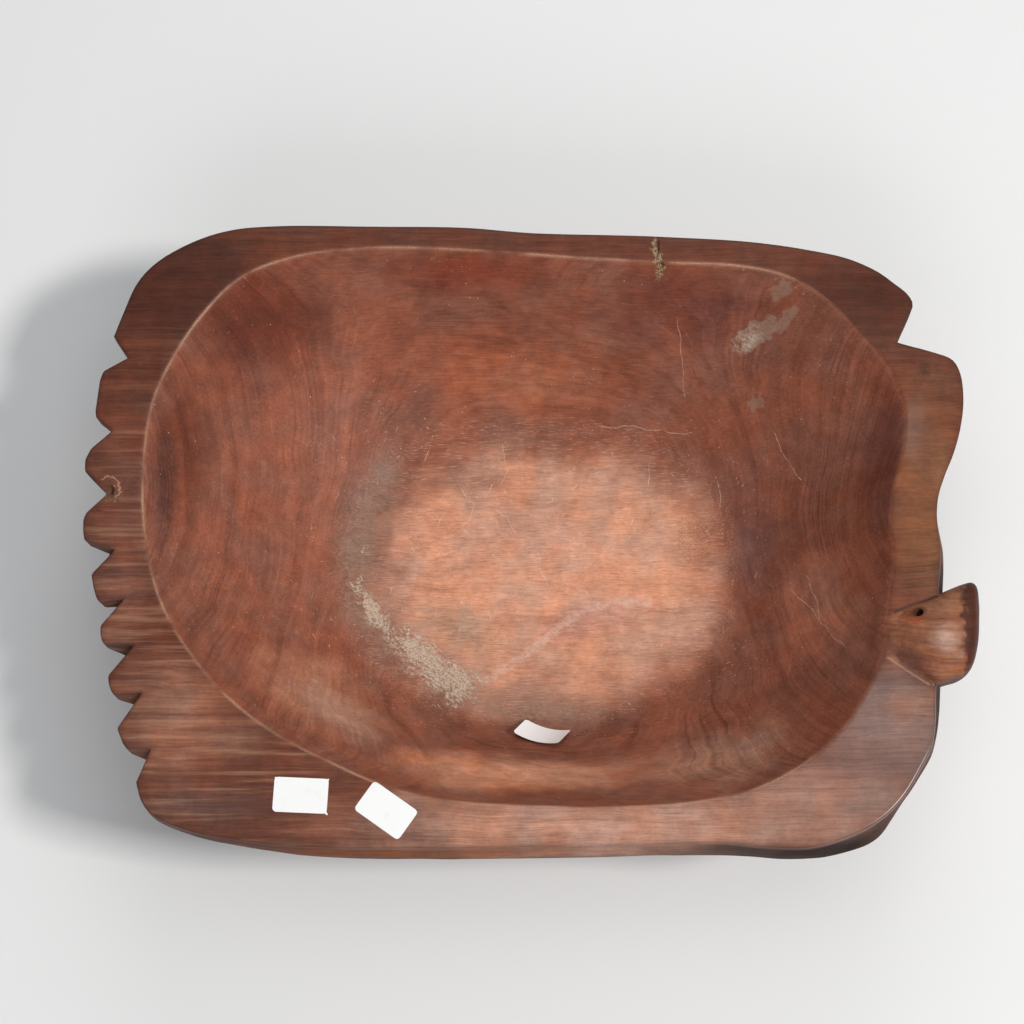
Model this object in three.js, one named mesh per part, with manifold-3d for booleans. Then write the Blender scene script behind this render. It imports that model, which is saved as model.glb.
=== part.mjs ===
// Fish-shaped kava bowl carved from one block of wood, with three small bare paper labels stuck on it.
// Millimetres, z up. Sizes and outlines are measured from a drawing origin in the middle of the rim's
// flat top: x runs to the end with the cord lug, y runs to the back edge, and the rim's top is z = 0.
// At the end the bowl is moved so that the middle of its box stands at the origin with the feet on z = 0.

import * as THREE from 'three';
import { mergeVertices } from 'three/addons/utils/BufferGeometryUtils.js';
import Module from 'manifold-3d';

const wasm = await Module();
wasm.setup();

// Size of the bowl in plan, with its lug, and the size at which its outlines below are drawn
const bowlLength = 460.7;
const bowlWidth = 338.2;
const drawnLength = 460.7;
const drawnWidth = 338.2;

// Heights of the bowl
const cavityDepth = 85;
const floorThickness = 16;
const legHeight = 18;
const flangeThickness = 12;
const bellyDepth = 20;

// Floor of the cavity, a rounded oblong. The dish ring is a share of its size, and is where it is half flat
const floorLength = 0.4515 * bowlLength;
const floorWidth = 0.4849 * bowlWidth;
const floorDish = 2;
const floorRoundness = 2.3;
const floorCentre = [14, -8];
const floorSides = 96;
const dishRing = 0.5;

// Cavity wall: shares of the way from the floor out to the rim, where its rings lie
const wallShares = [0.12, 0.24, 0.36, 0.5, 0.64, 0.76, 0.88, 0.96];
const wallPower = 1.3;

// Hull: shares of the way from the base up to the belly, where its rings lie
const hullRises = [1, 0.88, 0.75, 0.6, 0.44, 0.28, 0.13, 0];
const hullPower = 1.4;
const baseMargin = 9;

// Legs, set in from the ends and sides of the floor
const legInset = 28;
const legTopRadius = 17;
const footRadius = 13;
const legSink = 9;
const legSides = 20;

// Cord lug
const lugTop = 8;
const lugWaist = -7;
const lugBottom = -26;
const lugRootDrop = 7;
const lugPeak = [221, -68];
const lugRootX = 189;
const lugSlopePower = 1.5;
const lugRoundness = 3;
const lugUpperScales = [0.3, 0.5, 0.68, 0.82, 0.92, 0.98];
const lugLowerScales = [0.97, 0.86, 0.66, 0.4];

// Hole for the cord, drilled through the lug's neck: places and heights of its two mouths
const cordHoleRadius = 2.2;
const cordHoleEntry = [206.6, -54.5];
const cordHoleEntryZ = 3;
const cordHoleExit = [225, -62];
const cordHoleExitZ = -25;
const cordHoleReach = 8;
const cordHoleSides = 12;

// Paper labels, all of one size
const labelLength = 27;
const labelWidth = 17.4;
const labelCorner = 2;
const labelThickness = 0.3;
const labelGap = 0.3;
const labelCurlRadius = 36;
const labelLean = 5;
const labelCornerSides = 4;
const labelCurlSides = 12;
const labelLift = 40;

// Outline of the rim's top, counter-clockwise from the deep notch near the lug end. The back edge and
// the lower edge are smooth, and the head end between them is a row of teeth with straight sides.
// A notch's foot is its root at the flange's lower edge: the cuts are raked, so feet lie further out.
const backEdge = [
  [204, 94.3], [207, 100.8], [211.5, 110.4], [213.5, 116], [211, 121.8], [203.8, 128.3], [195.4, 135],
  [180, 142.5], [160, 147.3], [130, 152], [75, 155.5], [10, 157.5], [-25, 160.5], [-75, 161.2],
  [-125, 161.5], [-150, 159.3], [-170, 152.8], [-190, 140.5], [-200, 128.5], [-207, 110], [-211, 97.5],
];
const notchRoots = [
  [-203, 85.5], [-209.5, 44.3], [-210, 10], [-204.2, -20], [-198.3, -46.3], [-192, -70.4],
  [-186.7, -95], [-180.8, -123.8],
];
const notchFeet = [
  [-205, 89], [-212, 48], [-212.3, 13.5], [-208.9, -19.3], [-203.8, -47.4], [-197.7, -73.5],
  [-192.2, -99], [-184.6, -127.4],
];
const toothEdges = [
  [[-215.5, 78], [-217, 73], [-218.4, 56], [-218, 52.3]],
  [[-219.5, 35], [-222.2, 29], [-222, 22.5]],
  [[-220, 0], [-221.3, -4], [-221, -10], [-220, -15]],
  [[-215.5, -33], [-214, -40], [-212, -46], [-210, -48]],
  [[-209.3, -60], [-209, -65], [-207.5, -69.5]],
  [[-204, -86], [-203.5, -90], [-202, -94], [-200, -96.5]],
  [[-198, -113], [-196, -117.5], [-194.5, -121], [-192, -124]],
];
const lowerEdge = [
  [-187, -140.2], [-184, -149.5], [-178, -156.8], [-160, -164.3], [-140, -168.3], [-110, -171.8],
  [-50, -173], [50, -171.8], [105, -170.4], [125, -172.4], [145, -172.8], [160, -169.5], [180, -160.5],
  [193.4, -148.8], [205.2, -131], [209.9, -122], [212.2, -110], [213.2, -95], [216, -68], [217.8, -40],
  [219.6, -27], [220.2, -18], [219.3, -5], [220.6, 7.7], [224.6, 19.6], [230.4, 33], [235, 48], [237.1, 62],
  [236.3, 77], [232.6, 84.5], [223.8, 88.4], [210, 92.5], [204, 94.3],
];

// Inner edge of the rim, where the cavity begins
const cavityEdge = [
  [205.8, 58], [199, 79], [185, 98.7], [165, 120.8], [145, 132.6], [120, 138], [85, 139.7], [30, 143],
  [-25, 147.2], [-75, 148.3], [-115, 143.5], [-145, 131], [-165, 109], [-180, 83], [-188.5, 60],
  [-191.5, 25], [-188.5, -14], [-180, -45], [-166, -70], [-145, -95], [-120, -114.6], [-90, -130.4],
  [-60, -143], [-30, -149.4], [10, -152], [50, -152.5], [90, -150], [120, -143.6], [145, -131],
  [165, -114], [180, -92.3], [188.5, -72], [192.3, -46], [196.2, -23], [195.2, -5], [198, 15.4],
  [203, 31], [205.4, 46],
];

// Widest line of the hull, the belly, below the rim
const bellyEdge = [
  [211, 0], [213, 45], [207, 85], [190, 118], [162, 139], [120, 148], [60, 154], [-60, 158.5],
  [-115, 157], [-150, 148], [-175, 127], [-190, 97], [-198, 58], [-200.5, 20], [-198, -20], [-191, -60],
  [-183, -95], [-175, -124], [-172, -149], [-158, -164], [-138, -169.3], [-115, -172.8],
  [-90, -175.2], [-45, -176], [0, -175.7], [91.5, -174.1], [115, -174.4], [140, -176.2], [162, -174],
  [183, -166], [195.5, -149.8], [206.8, -131.5], [215, -113], [218.3, -93], [220, -65], [219, -35],
];

// How far the rim's side swells out at the bottom of the flange: direction in degrees, then amount
const sideSwell = [
  [0, 3], [5, 0.8], [10, 0], [60, 1.5], [100, 1.5], [140, 0], [180, -1], [212, 0], [222, 0.6], [232, 1.7],
  [239, 3], [316, 3], [322, 1.2], [328, 2.5], [331, 2.8], [336, 4.6], [352, 4.5], [360, 3],
];

// Plan of the cord lug: a neck that starts at the cavity's edge and widens to a fan-shaped head
const lugPlan = [
  [189, -66], [190.4, -56.5], [195.3, -52], [203.2, -48.4], [210.4, -46.1], [217, -43.3],
  [225, -39.8], [231, -37.5], [235.5, -36.7], [237.7, -38.8], [238.5, -48.2], [238, -57],
  [236.8, -68.3], [233.7, -79.6], [230.8, -84.2], [227, -86.9], [221.5, -88.6], [213.3, -90.4],
  [206.8, -88], [198.2, -83.2], [189.8, -78.6],
];

// Places of the labels on the rim: middle and turn in degrees
const rimLabels = {
  rim_label_left: { at: [-104.8, -146.8], turn: -2.5 },
  rim_label_right: { at: [-62.3, -154.3], turn: -35 },
};
const innerLabel = { at: [15.9, -103.2], turn: -34 };

const rayOrigin = placed([10, -8]);
const mergeDistance = 1e-4;

const wood = { color: '#8a5340', roughness: 0.45, metalness: 0 };
const paper = { color: '#f1efe9', roughness: 0.85, metalness: 0 };

// A drawn point at the bowl's own size
function placed([x, y]) {
  return new THREE.Vector2((x * bowlLength) / drawnLength, (y * bowlWidth) / drawnWidth);
}

// Smooth curve through hand-chosen points, sampled twice in each span
function smooth(points, closed = false) {
  const corners = points.map((point) => new THREE.Vector3(...placed(point), 0));
  const curve = new THREE.CatmullRomCurve3(corners, closed, 'centripetal');
  const spans = closed ? points.length : points.length - 1;
  return curve.getPoints(2 * spans).map((p) => new THREE.Vector2(p.x, p.y));
}

// Direction of a point seen from the ray origin, in degrees from 0 to 360
function direction(point) {
  const angle = Math.atan2(point.y - rayOrigin.y, point.x - rayOrigin.x);
  return (THREE.MathUtils.radToDeg(angle) + 360) % 360;
}

// Where the ray from the ray origin through a point crosses a closed outline
function crossing(outline, point) {
  const ray = point.clone().sub(rayOrigin).normalize();
  for (let i = 0; i < outline.length; i += 1) {
    const a = outline[i].clone().sub(rayOrigin);
    const b = outline[(i + 1) % outline.length].clone().sub(rayOrigin);
    const sideA = ray.cross(a);
    const sideB = ray.cross(b);
    if (sideA <= 0 && sideB > 0 && a.dot(ray) > 0) {
      return a.lerp(b, sideA / (sideA - sideB)).add(rayOrigin);
    }
  }
  throw new Error('an outline does not go round the ray origin');
}

// Rounded oblong round the cavity floor's centre, grown by a margin
function oblong(point, margin) {
  const middle = placed(floorCentre);
  const power = 2 / floorRoundness;
  const outline = [];
  for (let step = 0; step < floorSides; step += 1) {
    const angle = (2 * Math.PI * step) / floorSides;
    const along = Math.sign(Math.cos(angle)) * Math.abs(Math.cos(angle)) ** power;
    const across = Math.sign(Math.sin(angle)) * Math.abs(Math.sin(angle)) ** power;
    outline.push(new THREE.Vector2(
      middle.x + (floorLength / 2 + margin) * along,
      middle.y + (floorWidth / 2 + margin) * across,
    ));
  }
  return crossing(outline, point);
}

// Amount from a list of pairs, read between its lines
function readBetween(pairs, place) {
  const next = Math.max(1, pairs.findIndex(([at]) => at >= place));
  const [lowAt, low] = pairs[next - 1];
  const [highAt, high] = pairs[next];
  return low + ((high - low) * (place - lowAt)) / (highAt - lowAt);
}

// A point moved away from the ray origin in plan
function pushed(point, distance) {
  const ray = point.clone().sub(rayOrigin).normalize();
  return point.clone().addScaledVector(ray, distance);
}

// The rim's outer edge: the points of its top, and those of the flange's lower edge under them
function rimStations() {
  const stations = [];
  const side = (point) => stations.push({
    top: point,
    low: pushed(point, readBetween(sideSwell, direction(point))),
  });
  smooth(backEdge).forEach(side);
  notchRoots.forEach((root, index) => {
    stations.push({ top: placed(root), low: placed(notchFeet[index]) });
    (toothEdges[index] || []).map(placed).forEach(side);
  });
  smooth(lowerEdge).slice(0, -1).forEach(side);
  return stations;
}

// Closed surface through rings of equal length, from a middle point on one side to one on the other
function skin(firstPole, rings, lastPole) {
  const count = rings[0].length;
  const places = [firstPole, ...rings.flat(), lastPole];
  const index = [];
  const at = (ring, i) => 1 + ring * count + (i % count);
  for (let i = 0; i < count; i += 1) {
    index.push(0, at(0, i), at(0, i + 1));
    for (let ring = 0; ring + 1 < rings.length; ring += 1) {
      index.push(at(ring, i), at(ring + 1, i), at(ring + 1, i + 1));
      index.push(at(ring, i), at(ring + 1, i + 1), at(ring, i + 1));
    }
    index.push(at(rings.length - 1, i), places.length - 1, at(rings.length - 1, i + 1));
  }
  const geometry = new THREE.BufferGeometry().setFromPoints(places);
  geometry.setIndex(index);
  return geometry;
}

function solid(geometry) {
  geometry.deleteAttribute('normal');
  geometry.deleteAttribute('uv');
  const merged = mergeVertices(geometry, mergeDistance);
  return new wasm.Manifold(new wasm.Mesh({
    numProp: 3,
    vertProperties: merged.attributes.position.array,
    triVerts: Uint32Array.from(merged.index.array),
  }));
}

function geometryOf(body) {
  const mesh = body.getMesh();
  const geometry = new THREE.BufferGeometry();
  geometry.setAttribute('position', new THREE.BufferAttribute(mesh.vertProperties, 3));
  geometry.setIndex(new THREE.BufferAttribute(mesh.triVerts, 1));
  geometry.computeVertexNormals();
  return geometry;
}

// The bowl without its legs and lug: cavity, flat rim, flange with its teeth, belly and base
function bowlShell() {
  const stations = rimStations();
  const level = (points, z) => points.map((p) => new THREE.Vector3(p.x, p.y, z));
  const between = (from, to, share) => from.map((p, i) => p.clone().lerp(to[i], share));

  const tops = stations.map((s) => s.top);
  const inner = smooth(cavityEdge, true).slice(0, -1);
  const belly = smooth(bellyEdge, true).slice(0, -1);
  const rimInner = tops.map((p) => crossing(inner, p));
  const bellyRing = tops.map((p) => crossing(belly, p));
  const floorRing = tops.map((p) => oblong(p, 0));
  const baseRing = tops.map((p) => oblong(p, baseMargin));
  const middle = floorRing.map(() => placed(floorCentre));

  const baseZ = -cavityDepth - floorThickness;
  const bellyRise = -bellyDepth - baseZ;
  const rings = [];
  const dishZ = -cavityDepth - floorDish * (1 - dishRing ** 2);
  rings.push(level(between(middle, floorRing, dishRing), dishZ));
  rings.push(level(floorRing, -cavityDepth));
  for (const share of wallShares) {
    const z = -cavityDepth * (1 - share ** wallPower);
    rings.push(level(between(floorRing, rimInner, share), z));
  }
  rings.push(level(rimInner, 0));
  rings.push(level(tops, 0));
  rings.push(level(stations.map((s) => s.low), -flangeThickness));
  for (const rise of hullRises) {
    const share = 1 - (1 - rise) ** hullPower;
    rings.push(level(between(baseRing, bellyRing, share), baseZ + bellyRise * rise));
  }
  return skin(
    new THREE.Vector3(...middle[0], -cavityDepth - floorDish),
    rings,
    new THREE.Vector3(...middle[0], baseZ),
  );
}

// The lug: a dome over its plan that sinks towards the cavity, and a rounded underside
function lug() {
  const plan = smooth(lugPlan, true).slice(0, -1).reverse();
  const peak = placed(lugPeak);
  const root = placed([lugRootX, 0]);
  const crest = (x) => {
    const share = THREE.MathUtils.clamp((peak.x - x) / (peak.x - root.x), 0, 1);
    return lugTop - lugRootDrop * share ** lugSlopePower;
  };
  const ring = (scale, height) => plan.map((p) => {
    const q = peak.clone().lerp(p, scale);
    return new THREE.Vector3(q.x, q.y, height(q.x));
  });
  const dome = (scale) => (1 - scale ** lugRoundness) ** (1 / lugRoundness);
  const over = lugUpperScales.map((scale) => (
    ring(scale, (x) => lugWaist + (crest(x) - lugWaist) * dome(scale))
  ));
  const under = lugLowerScales.map((scale) => (
    ring(scale, () => lugWaist + (lugBottom - lugWaist) * dome(scale))
  ));
  const rings = [...over, ring(1, () => lugWaist), ...under];
  return skin(new THREE.Vector3(...peak, lugTop), rings, new THREE.Vector3(...peak, lugBottom));
}

// A straight round bar between two points
function bar(start, end, startRadius, endRadius, sides) {
  const axis = end.clone().sub(start);
  const geometry = new THREE.CylinderGeometry(endRadius, startRadius, axis.length(), sides);
  const turn = new THREE.Quaternion().setFromUnitVectors(new THREE.Vector3(0, 1, 0), axis.normalize());
  return geometry.applyQuaternion(turn).translate(...start.clone().lerp(end, 0.5));
}

function bowlGeometry() {
  const baseZ = -cavityDepth - floorThickness;
  let body = solid(bowlShell()).add(solid(lug()));
  const middle = placed(floorCentre);
  for (const along of [-1, 1]) {
    for (const across of [-1, 1]) {
      const foot = new THREE.Vector3(
        middle.x + along * (floorLength / 2 - legInset),
        middle.y + across * (floorWidth / 2 - legInset),
        baseZ - legHeight,
      );
      const top = foot.clone().setZ(baseZ + legSink);
      body = body.add(solid(bar(foot, top, footRadius, legTopRadius, legSides)));
    }
  }
  const entry = new THREE.Vector3(...placed(cordHoleEntry), cordHoleEntryZ);
  const exit = new THREE.Vector3(...placed(cordHoleExit), cordHoleExitZ);
  const reach = exit.clone().sub(entry).setLength(cordHoleReach);
  const drill = bar(
    entry.clone().sub(reach), exit.clone().add(reach), cordHoleRadius, cordHoleRadius, cordHoleSides,
  );
  return geometryOf(body.subtract(solid(drill)));
}

// Rounded rectangle in plan
function labelShape() {
  const x = labelLength / 2;
  const y = labelWidth / 2;
  const r = labelCorner;
  const shape = new THREE.Shape();
  shape.moveTo(-x + r, -y);
  shape.lineTo(x - r, -y);
  shape.absarc(x - r, -y + r, r, -Math.PI / 2, 0);
  shape.lineTo(x, y - r);
  shape.absarc(x - r, y - r, r, 0, Math.PI / 2);
  shape.lineTo(-x + r, y);
  shape.absarc(-x + r, y - r, r, Math.PI / 2, Math.PI);
  shape.lineTo(-x, -y + r);
  shape.absarc(-x + r, -y + r, r, Math.PI, 1.5 * Math.PI);
  return shape;
}

function flatLabel() {
  return new THREE.ExtrudeGeometry(labelShape(), {
    depth: labelThickness, bevelEnabled: false, curveSegments: labelCornerSides,
  });
}

// A label whose two ends curl up round an axis across it
function curledLabel() {
  const half = labelLength / 2 / labelCurlRadius;
  const band = new THREE.Shape();
  band.absarc(0, labelCurlRadius, labelCurlRadius, -Math.PI / 2 - half, -Math.PI / 2 + half);
  band.absarc(
    0, labelCurlRadius, labelCurlRadius - labelThickness, -Math.PI / 2 + half, -Math.PI / 2 - half, true,
  );
  const strip = new THREE.ExtrudeGeometry(band, {
    depth: labelWidth, bevelEnabled: false, curveSegments: labelCurlSides,
  });
  return strip.rotateX(Math.PI / 2).translate(0, labelWidth / 2, 0);
}

function mesh(name, geometry, finish) {
  const piece = new THREE.Mesh(geometry, new THREE.MeshStandardMaterial(finish));
  piece.name = name;
  return piece;
}

// Lays the curled label along the cavity's wall, its upper edge leaning off by a few degrees, and lifts
// it until its nearest point clears the wood
function seatInnerLabel(label, bowl) {
  const caster = new THREE.Raycaster();
  const above = new THREE.Vector3(...placed(innerLabel.at), 0);
  caster.set(above, new THREE.Vector3(0, 0, -1));
  const spot = caster.intersectObject(bowl)[0];
  const normal = spot.face.normal.clone();
  const along = new THREE.Vector3(1, 0, 0).applyAxisAngle(
    new THREE.Vector3(0, 0, 1), THREE.MathUtils.degToRad(innerLabel.turn),
  );
  along.addScaledVector(normal, -along.dot(normal)).normalize();
  normal.applyAxisAngle(along, -THREE.MathUtils.degToRad(labelLean));
  const across = new THREE.Vector3().crossVectors(normal, along);
  label.quaternion.setFromRotationMatrix(new THREE.Matrix4().makeBasis(along, across, normal));
  label.position.copy(spot.point);
  label.updateMatrixWorld();

  let gap = Infinity;
  const corner = new THREE.Vector3();
  const places = label.geometry.attributes.position;
  for (let i = 0; i < places.count; i += 1) {
    corner.fromBufferAttribute(places, i).applyMatrix4(label.matrixWorld);
    caster.set(corner.clone().addScaledVector(normal, labelLift), normal.clone().negate());
    gap = Math.min(gap, caster.intersectObject(bowl)[0].distance - labelLift);
  }
  label.position.addScaledVector(normal, labelGap - gap);
}

const bowl = mesh('bowl', bowlGeometry(), wood);
bowl.updateMatrixWorld();

const model = new THREE.Group();
model.add(bowl);
for (const [name, place] of Object.entries(rimLabels)) {
  const label = mesh(name, flatLabel(), paper);
  label.position.set(...placed(place.at), 0);
  label.rotation.z = THREE.MathUtils.degToRad(place.turn);
  model.add(label);
}
const inner = mesh('inner_label', curledLabel(), paper);
seatInnerLabel(inner, bowl);
model.add(inner);

const box = new THREE.Box3().setFromObject(bowl);
const middle = box.getCenter(new THREE.Vector3());
model.position.set(-middle.x, -middle.y, -box.min.z);

export default model;
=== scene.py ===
"""Kava bowl carved from one block of wood, with three paper labels, dressed in the frame of its solids.

Lengths in the drawing are millimetres from the middle of the rim's flat top: x runs to the end with the
cord lug, y to the back edge and z up. Everything that is built is in metres, in the frame.
"""

from __future__ import annotations

import logging
import math
from dataclasses import dataclass
from enum import Enum
from functools import reduce
from typing import Any, Callable, Iterable, Sequence, Union

import bmesh
import bpy
import numpy as np
from bmesh.types import BMEdge, BMesh, BMVert
from bpy.types import Material, Mesh, Object
from mathutils import Matrix, Vector, noise
from mathutils.bvhtree import BVHTree

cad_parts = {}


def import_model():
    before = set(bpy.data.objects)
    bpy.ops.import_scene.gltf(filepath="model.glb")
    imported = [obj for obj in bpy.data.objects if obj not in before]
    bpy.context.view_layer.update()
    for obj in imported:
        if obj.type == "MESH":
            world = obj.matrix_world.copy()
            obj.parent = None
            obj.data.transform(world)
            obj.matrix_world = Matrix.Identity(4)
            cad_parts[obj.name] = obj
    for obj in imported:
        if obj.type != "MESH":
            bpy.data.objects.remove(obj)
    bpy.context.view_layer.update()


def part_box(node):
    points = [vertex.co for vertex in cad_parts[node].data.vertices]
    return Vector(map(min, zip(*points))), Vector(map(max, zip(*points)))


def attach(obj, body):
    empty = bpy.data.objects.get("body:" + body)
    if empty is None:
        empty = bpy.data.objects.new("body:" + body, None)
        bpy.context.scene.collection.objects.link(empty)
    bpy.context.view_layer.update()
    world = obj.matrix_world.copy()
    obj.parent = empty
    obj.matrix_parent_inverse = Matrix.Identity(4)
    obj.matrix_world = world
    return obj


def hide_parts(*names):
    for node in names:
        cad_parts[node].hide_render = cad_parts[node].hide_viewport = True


LOG = logging.getLogger("kava_bowl")
MM = 0.001
UP = Vector((0, 0, 1))
ROOT = "root"

Plan = tuple[float, float]
Place = tuple[float, float, float]
Colour = tuple[float, float, float]
Rows = np.ndarray
Ring = tuple[list[BMVert], list[BMEdge]]


class Slot(Enum):
    """The names of the material slots."""

    WOOD = "carved_wood"
    PAPER = "label_paper"


class Cut(Enum):
    """How one solid is joined to another."""

    JOIN = "UNION"
    TAKE = "DIFFERENCE"


# Plan geometry

STEPS_PER_SPAN = 16
# The knots between which a span's four points are blended, level by level
BLENDS = (((0, 1), (1, 2), (2, 3)), ((0, 2), (1, 3)), ((1, 2),))


def smooth_line(points: Sequence[Sequence[float]], spacing: float, closed: bool = False) -> Rows:
    """Draws a smooth curve through points and marks it off evenly.

    Args:
        points: The points to pass through, in plan.
        spacing: The distance between the marks, in the points' own unit.
        closed: Whether the curve returns to its first point.

    Returns:
        The marks, one row each. A closed curve doesn't repeat its first mark.
    """
    rows = np.array(points, float)
    if closed:
        around = np.vstack([rows[-1:], rows, rows[:2]])
    else:
        around = np.vstack([2 * rows[:1] - rows[1:2], rows, 2 * rows[-1:] - rows[-2:-1]])
    fine = []
    for start in range(len(around) - 3):
        level = list(around[start:start + 4])
        gaps = [max(math.sqrt(np.linalg.norm(b - a)), 1e-6) for a, b in zip(level, level[1:])]
        knots = np.cumsum([0.0, *gaps])
        t = np.linspace(knots[1], knots[2], STEPS_PER_SPAN, endpoint=False)[:, None]
        for pairs in BLENDS:
            level = [low + (high - low) * (t - knots[i]) / (knots[j] - knots[i])
                     for low, high, (i, j) in zip(level, level[1:], pairs)]
        fine.append(level[0])
    fine.append(rows[:1] if closed else rows[-1:])
    marks = even(np.vstack(fine), spacing)
    return marks[:-1] if closed else marks


def even(line: Rows, spacing: float) -> Rows:
    """Marks a line of points off evenly.

    Args:
        line: The points, one row each.
        spacing: The distance wanted between marks.

    Returns:
        The marks, from the line's first point to its last.
    """
    run = np.concatenate([[0.0], np.cumsum(np.linalg.norm(np.diff(line[:, :2], axis=0), axis=1))])
    marks = np.linspace(0.0, run[-1], max(1, round(run[-1] / spacing)) + 1)
    return np.column_stack([np.interp(marks, run, column) for column in line.T])


def crossings(outline: Rows, points: Rows) -> Rows:
    """Finds where rays from the rays' origin through points cross a closed outline.

    Args:
        outline: The outline's points, counter-clockwise round the origin.
        points: One point on each ray.

    Returns:
        The crossing on each ray.
    """
    start = outline - np.array(RAY_ORIGIN)
    end = np.roll(start, -1, axis=0)
    found = []
    for point in points - np.array(RAY_ORIGIN):
        ray = point / np.linalg.norm(point)
        side_a = ray[0] * start[:, 1] - ray[1] * start[:, 0]
        side_b = ray[0] * end[:, 1] - ray[1] * end[:, 0]
        hit = np.flatnonzero((side_a <= 0) & (side_b > 0) & (start @ ray > 0))[0]
        share = side_a[hit] / (side_a[hit] - side_b[hit])
        found.append(start[hit] * (1 - share) + end[hit] * share + np.array(RAY_ORIGIN))
    return np.array(found)


def distance_to(outline: Rows, places: Rows) -> Rows:
    """Measures signed distances in plan from places to a closed outline.

    Args:
        outline: The outline's points in order.
        places: The places, one row each.

    Returns:
        Distances, negative inside the outline.
    """
    best = np.full(len(places), np.inf)
    inside = np.zeros(len(places), bool)
    for corner, far in zip(outline, np.roll(outline, -1, axis=0)):
        along, gap = far - corner, places - corner
        share = np.clip(gap @ along / max(along @ along, 1e-9), 0, 1)
        best = np.minimum(best, np.linalg.norm(gap - share[:, None] * along, axis=1))
        between = (corner[1] > places[:, 1]) != (far[1] > places[:, 1])
        inside ^= between & (gap[:, 0] < gap[:, 1] * along[0] / (along[1] or 1e-9))
    return np.where(inside, -best, best)


def ramp(values: Rows, low: float, high: float) -> Rows:
    """Eases values from 0 at low to 1 at high."""
    share = np.clip((values - low) / (high - low), 0, 1)
    return share * share * (3 - 2 * share)


def bent(start: Rows, corner: Rows, end: Rows, shares: Iterable[float]) -> list[Rows]:
    """Bends from start to end round a corner, and gives the points at each share of the way."""
    return [(1 - s) ** 2 * start + 2 * s * (1 - s) * corner + s * s * end for s in shares]


# Mesh tools


def corner_rows(mesh: Mesh, what: str) -> Rows:
    """Reads three numbers for each of a mesh's corners.

    Args:
        mesh: The mesh.
        what: What is read, co or normal.

    Returns:
        One row a corner.
    """
    flat = np.zeros(len(mesh.vertices) * 3)
    mesh.vertices.foreach_get(what, flat)
    return flat.reshape(-1, 3)


def add_mask(mesh: Mesh, name: str, values: Rows) -> None:
    """Stores one number per corner under a name that a material can read."""
    mesh.attributes.new(name, "FLOAT", "POINT").data.foreach_set("value", values.astype(np.float32))


@dataclass(frozen=True)
class Drawing:
    """Puts places of the carver's drawing in the frame."""

    origin: Place

    @classmethod
    def from_label(cls, node: str, middle: Plan) -> "Drawing":
        """Finds the drawing's origin from a label that lies on the rim.

        Args:
            node: The label's solid.
            middle: The label's middle in the drawing.

        Returns:
            The drawing in its place.
        """
        low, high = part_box(node)
        return cls(((low.x + high.x) / 2 - middle[0] * MM, (low.y + high.y) / 2 - middle[1] * MM, low.z))

    def point(self, x: float, y: float, z: float = 0.0) -> Vector:
        """Gives a place of the drawing in the frame."""
        return Vector((self.origin[0] + x * MM, self.origin[1] + y * MM, self.origin[2] + z * MM))

    def places(self, mesh: Mesh) -> Rows:
        """Gives the places of a mesh's corners in the drawing."""
        return (corner_rows(mesh, "co") - np.array(self.origin)) / MM


def ringed_skin(drawing: Drawing, rings: Sequence[Rows], first: Place, last: Place) -> BMesh:
    """Draws a circle out ring by ring and closes it at both ends.

    Args:
        drawing: Where the drawing lies.
        rings: The rings' points, of equal number, in drawing millimetres.
        first: The point that closes the first ring.
        last: The point that closes the last ring.

    Returns:
        The closed skin.
    """
    skin = bmesh.new()
    bmesh.ops.create_circle(skin, cap_ends=False, radius=1.0, segments=len(rings[0]))
    start = ring = list(skin.verts), list(skin.edges)

    def lay(verts: list[BMVert], places: Rows) -> None:
        """Moves a ring's corners to their places."""
        for vert, place in zip(verts, places):
            vert.co = drawing.point(*place)

    def drawn_out(verts: list[BMVert], edges: list[BMEdge]) -> Ring:
        """Extrudes a ring once.

        Args:
            verts: The ring's corners.
            edges: Its edges.

        Returns:
            The new ring, its corners in the same order.
        """
        made = bmesh.ops.extrude_edge_only(skin, edges=edges)["geom"]
        fresh = {part for part in made if isinstance(part, BMVert)}
        follow = [next(e.other_vert(v) for e in v.link_edges if e.other_vert(v) in fresh) for v in verts]
        return follow, [part for part in made if isinstance(part, BMEdge) and set(part.verts) <= fresh]

    lay(ring[0], rings[0])
    for places in rings[1:]:
        ring = drawn_out(*ring)
        lay(ring[0], places)
    for end, pole in ((start, first), (ring, last)):
        bmesh.ops.pointmerge(skin, verts=drawn_out(*end)[0], merge_co=drawing.point(*pole))
    bmesh.ops.recalc_face_normals(skin, faces=skin.faces)
    return skin


def as_object(name: str, shape: BMesh) -> Object:
    """Turns a bmesh into an object of the scene.

    Args:
        name: The object's name.
        shape: The shape, which is used up.

    Returns:
        The object, at the origin.
    """
    mesh = bpy.data.meshes.new(name)
    shape.to_mesh(mesh)
    shape.free()
    made = bpy.data.objects.new(name, mesh)
    bpy.context.scene.collection.objects.link(made)
    return made


def carve(body: Object, tool: Object, cut: Cut) -> None:
    """Joins a tool's solid to a body, or takes it away, and removes the tool.

    Args:
        body: The body, whose mesh is replaced by the result.
        tool: The other solid.
        cut: Which of the two is done.
    """
    modifier = body.modifiers.new("carve", "BOOLEAN")
    modifier.operation = cut.value
    modifier.solver = "EXACT"
    modifier.object = tool
    graph = bpy.context.evaluated_depsgraph_get()
    result = bpy.data.meshes.new_from_object(body.evaluated_get(graph))
    body.modifiers.clear()
    spent, body.data = body.data, result
    result.name = body.name
    bpy.data.meshes.remove(spent)
    bpy.data.objects.remove(tool)


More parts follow.
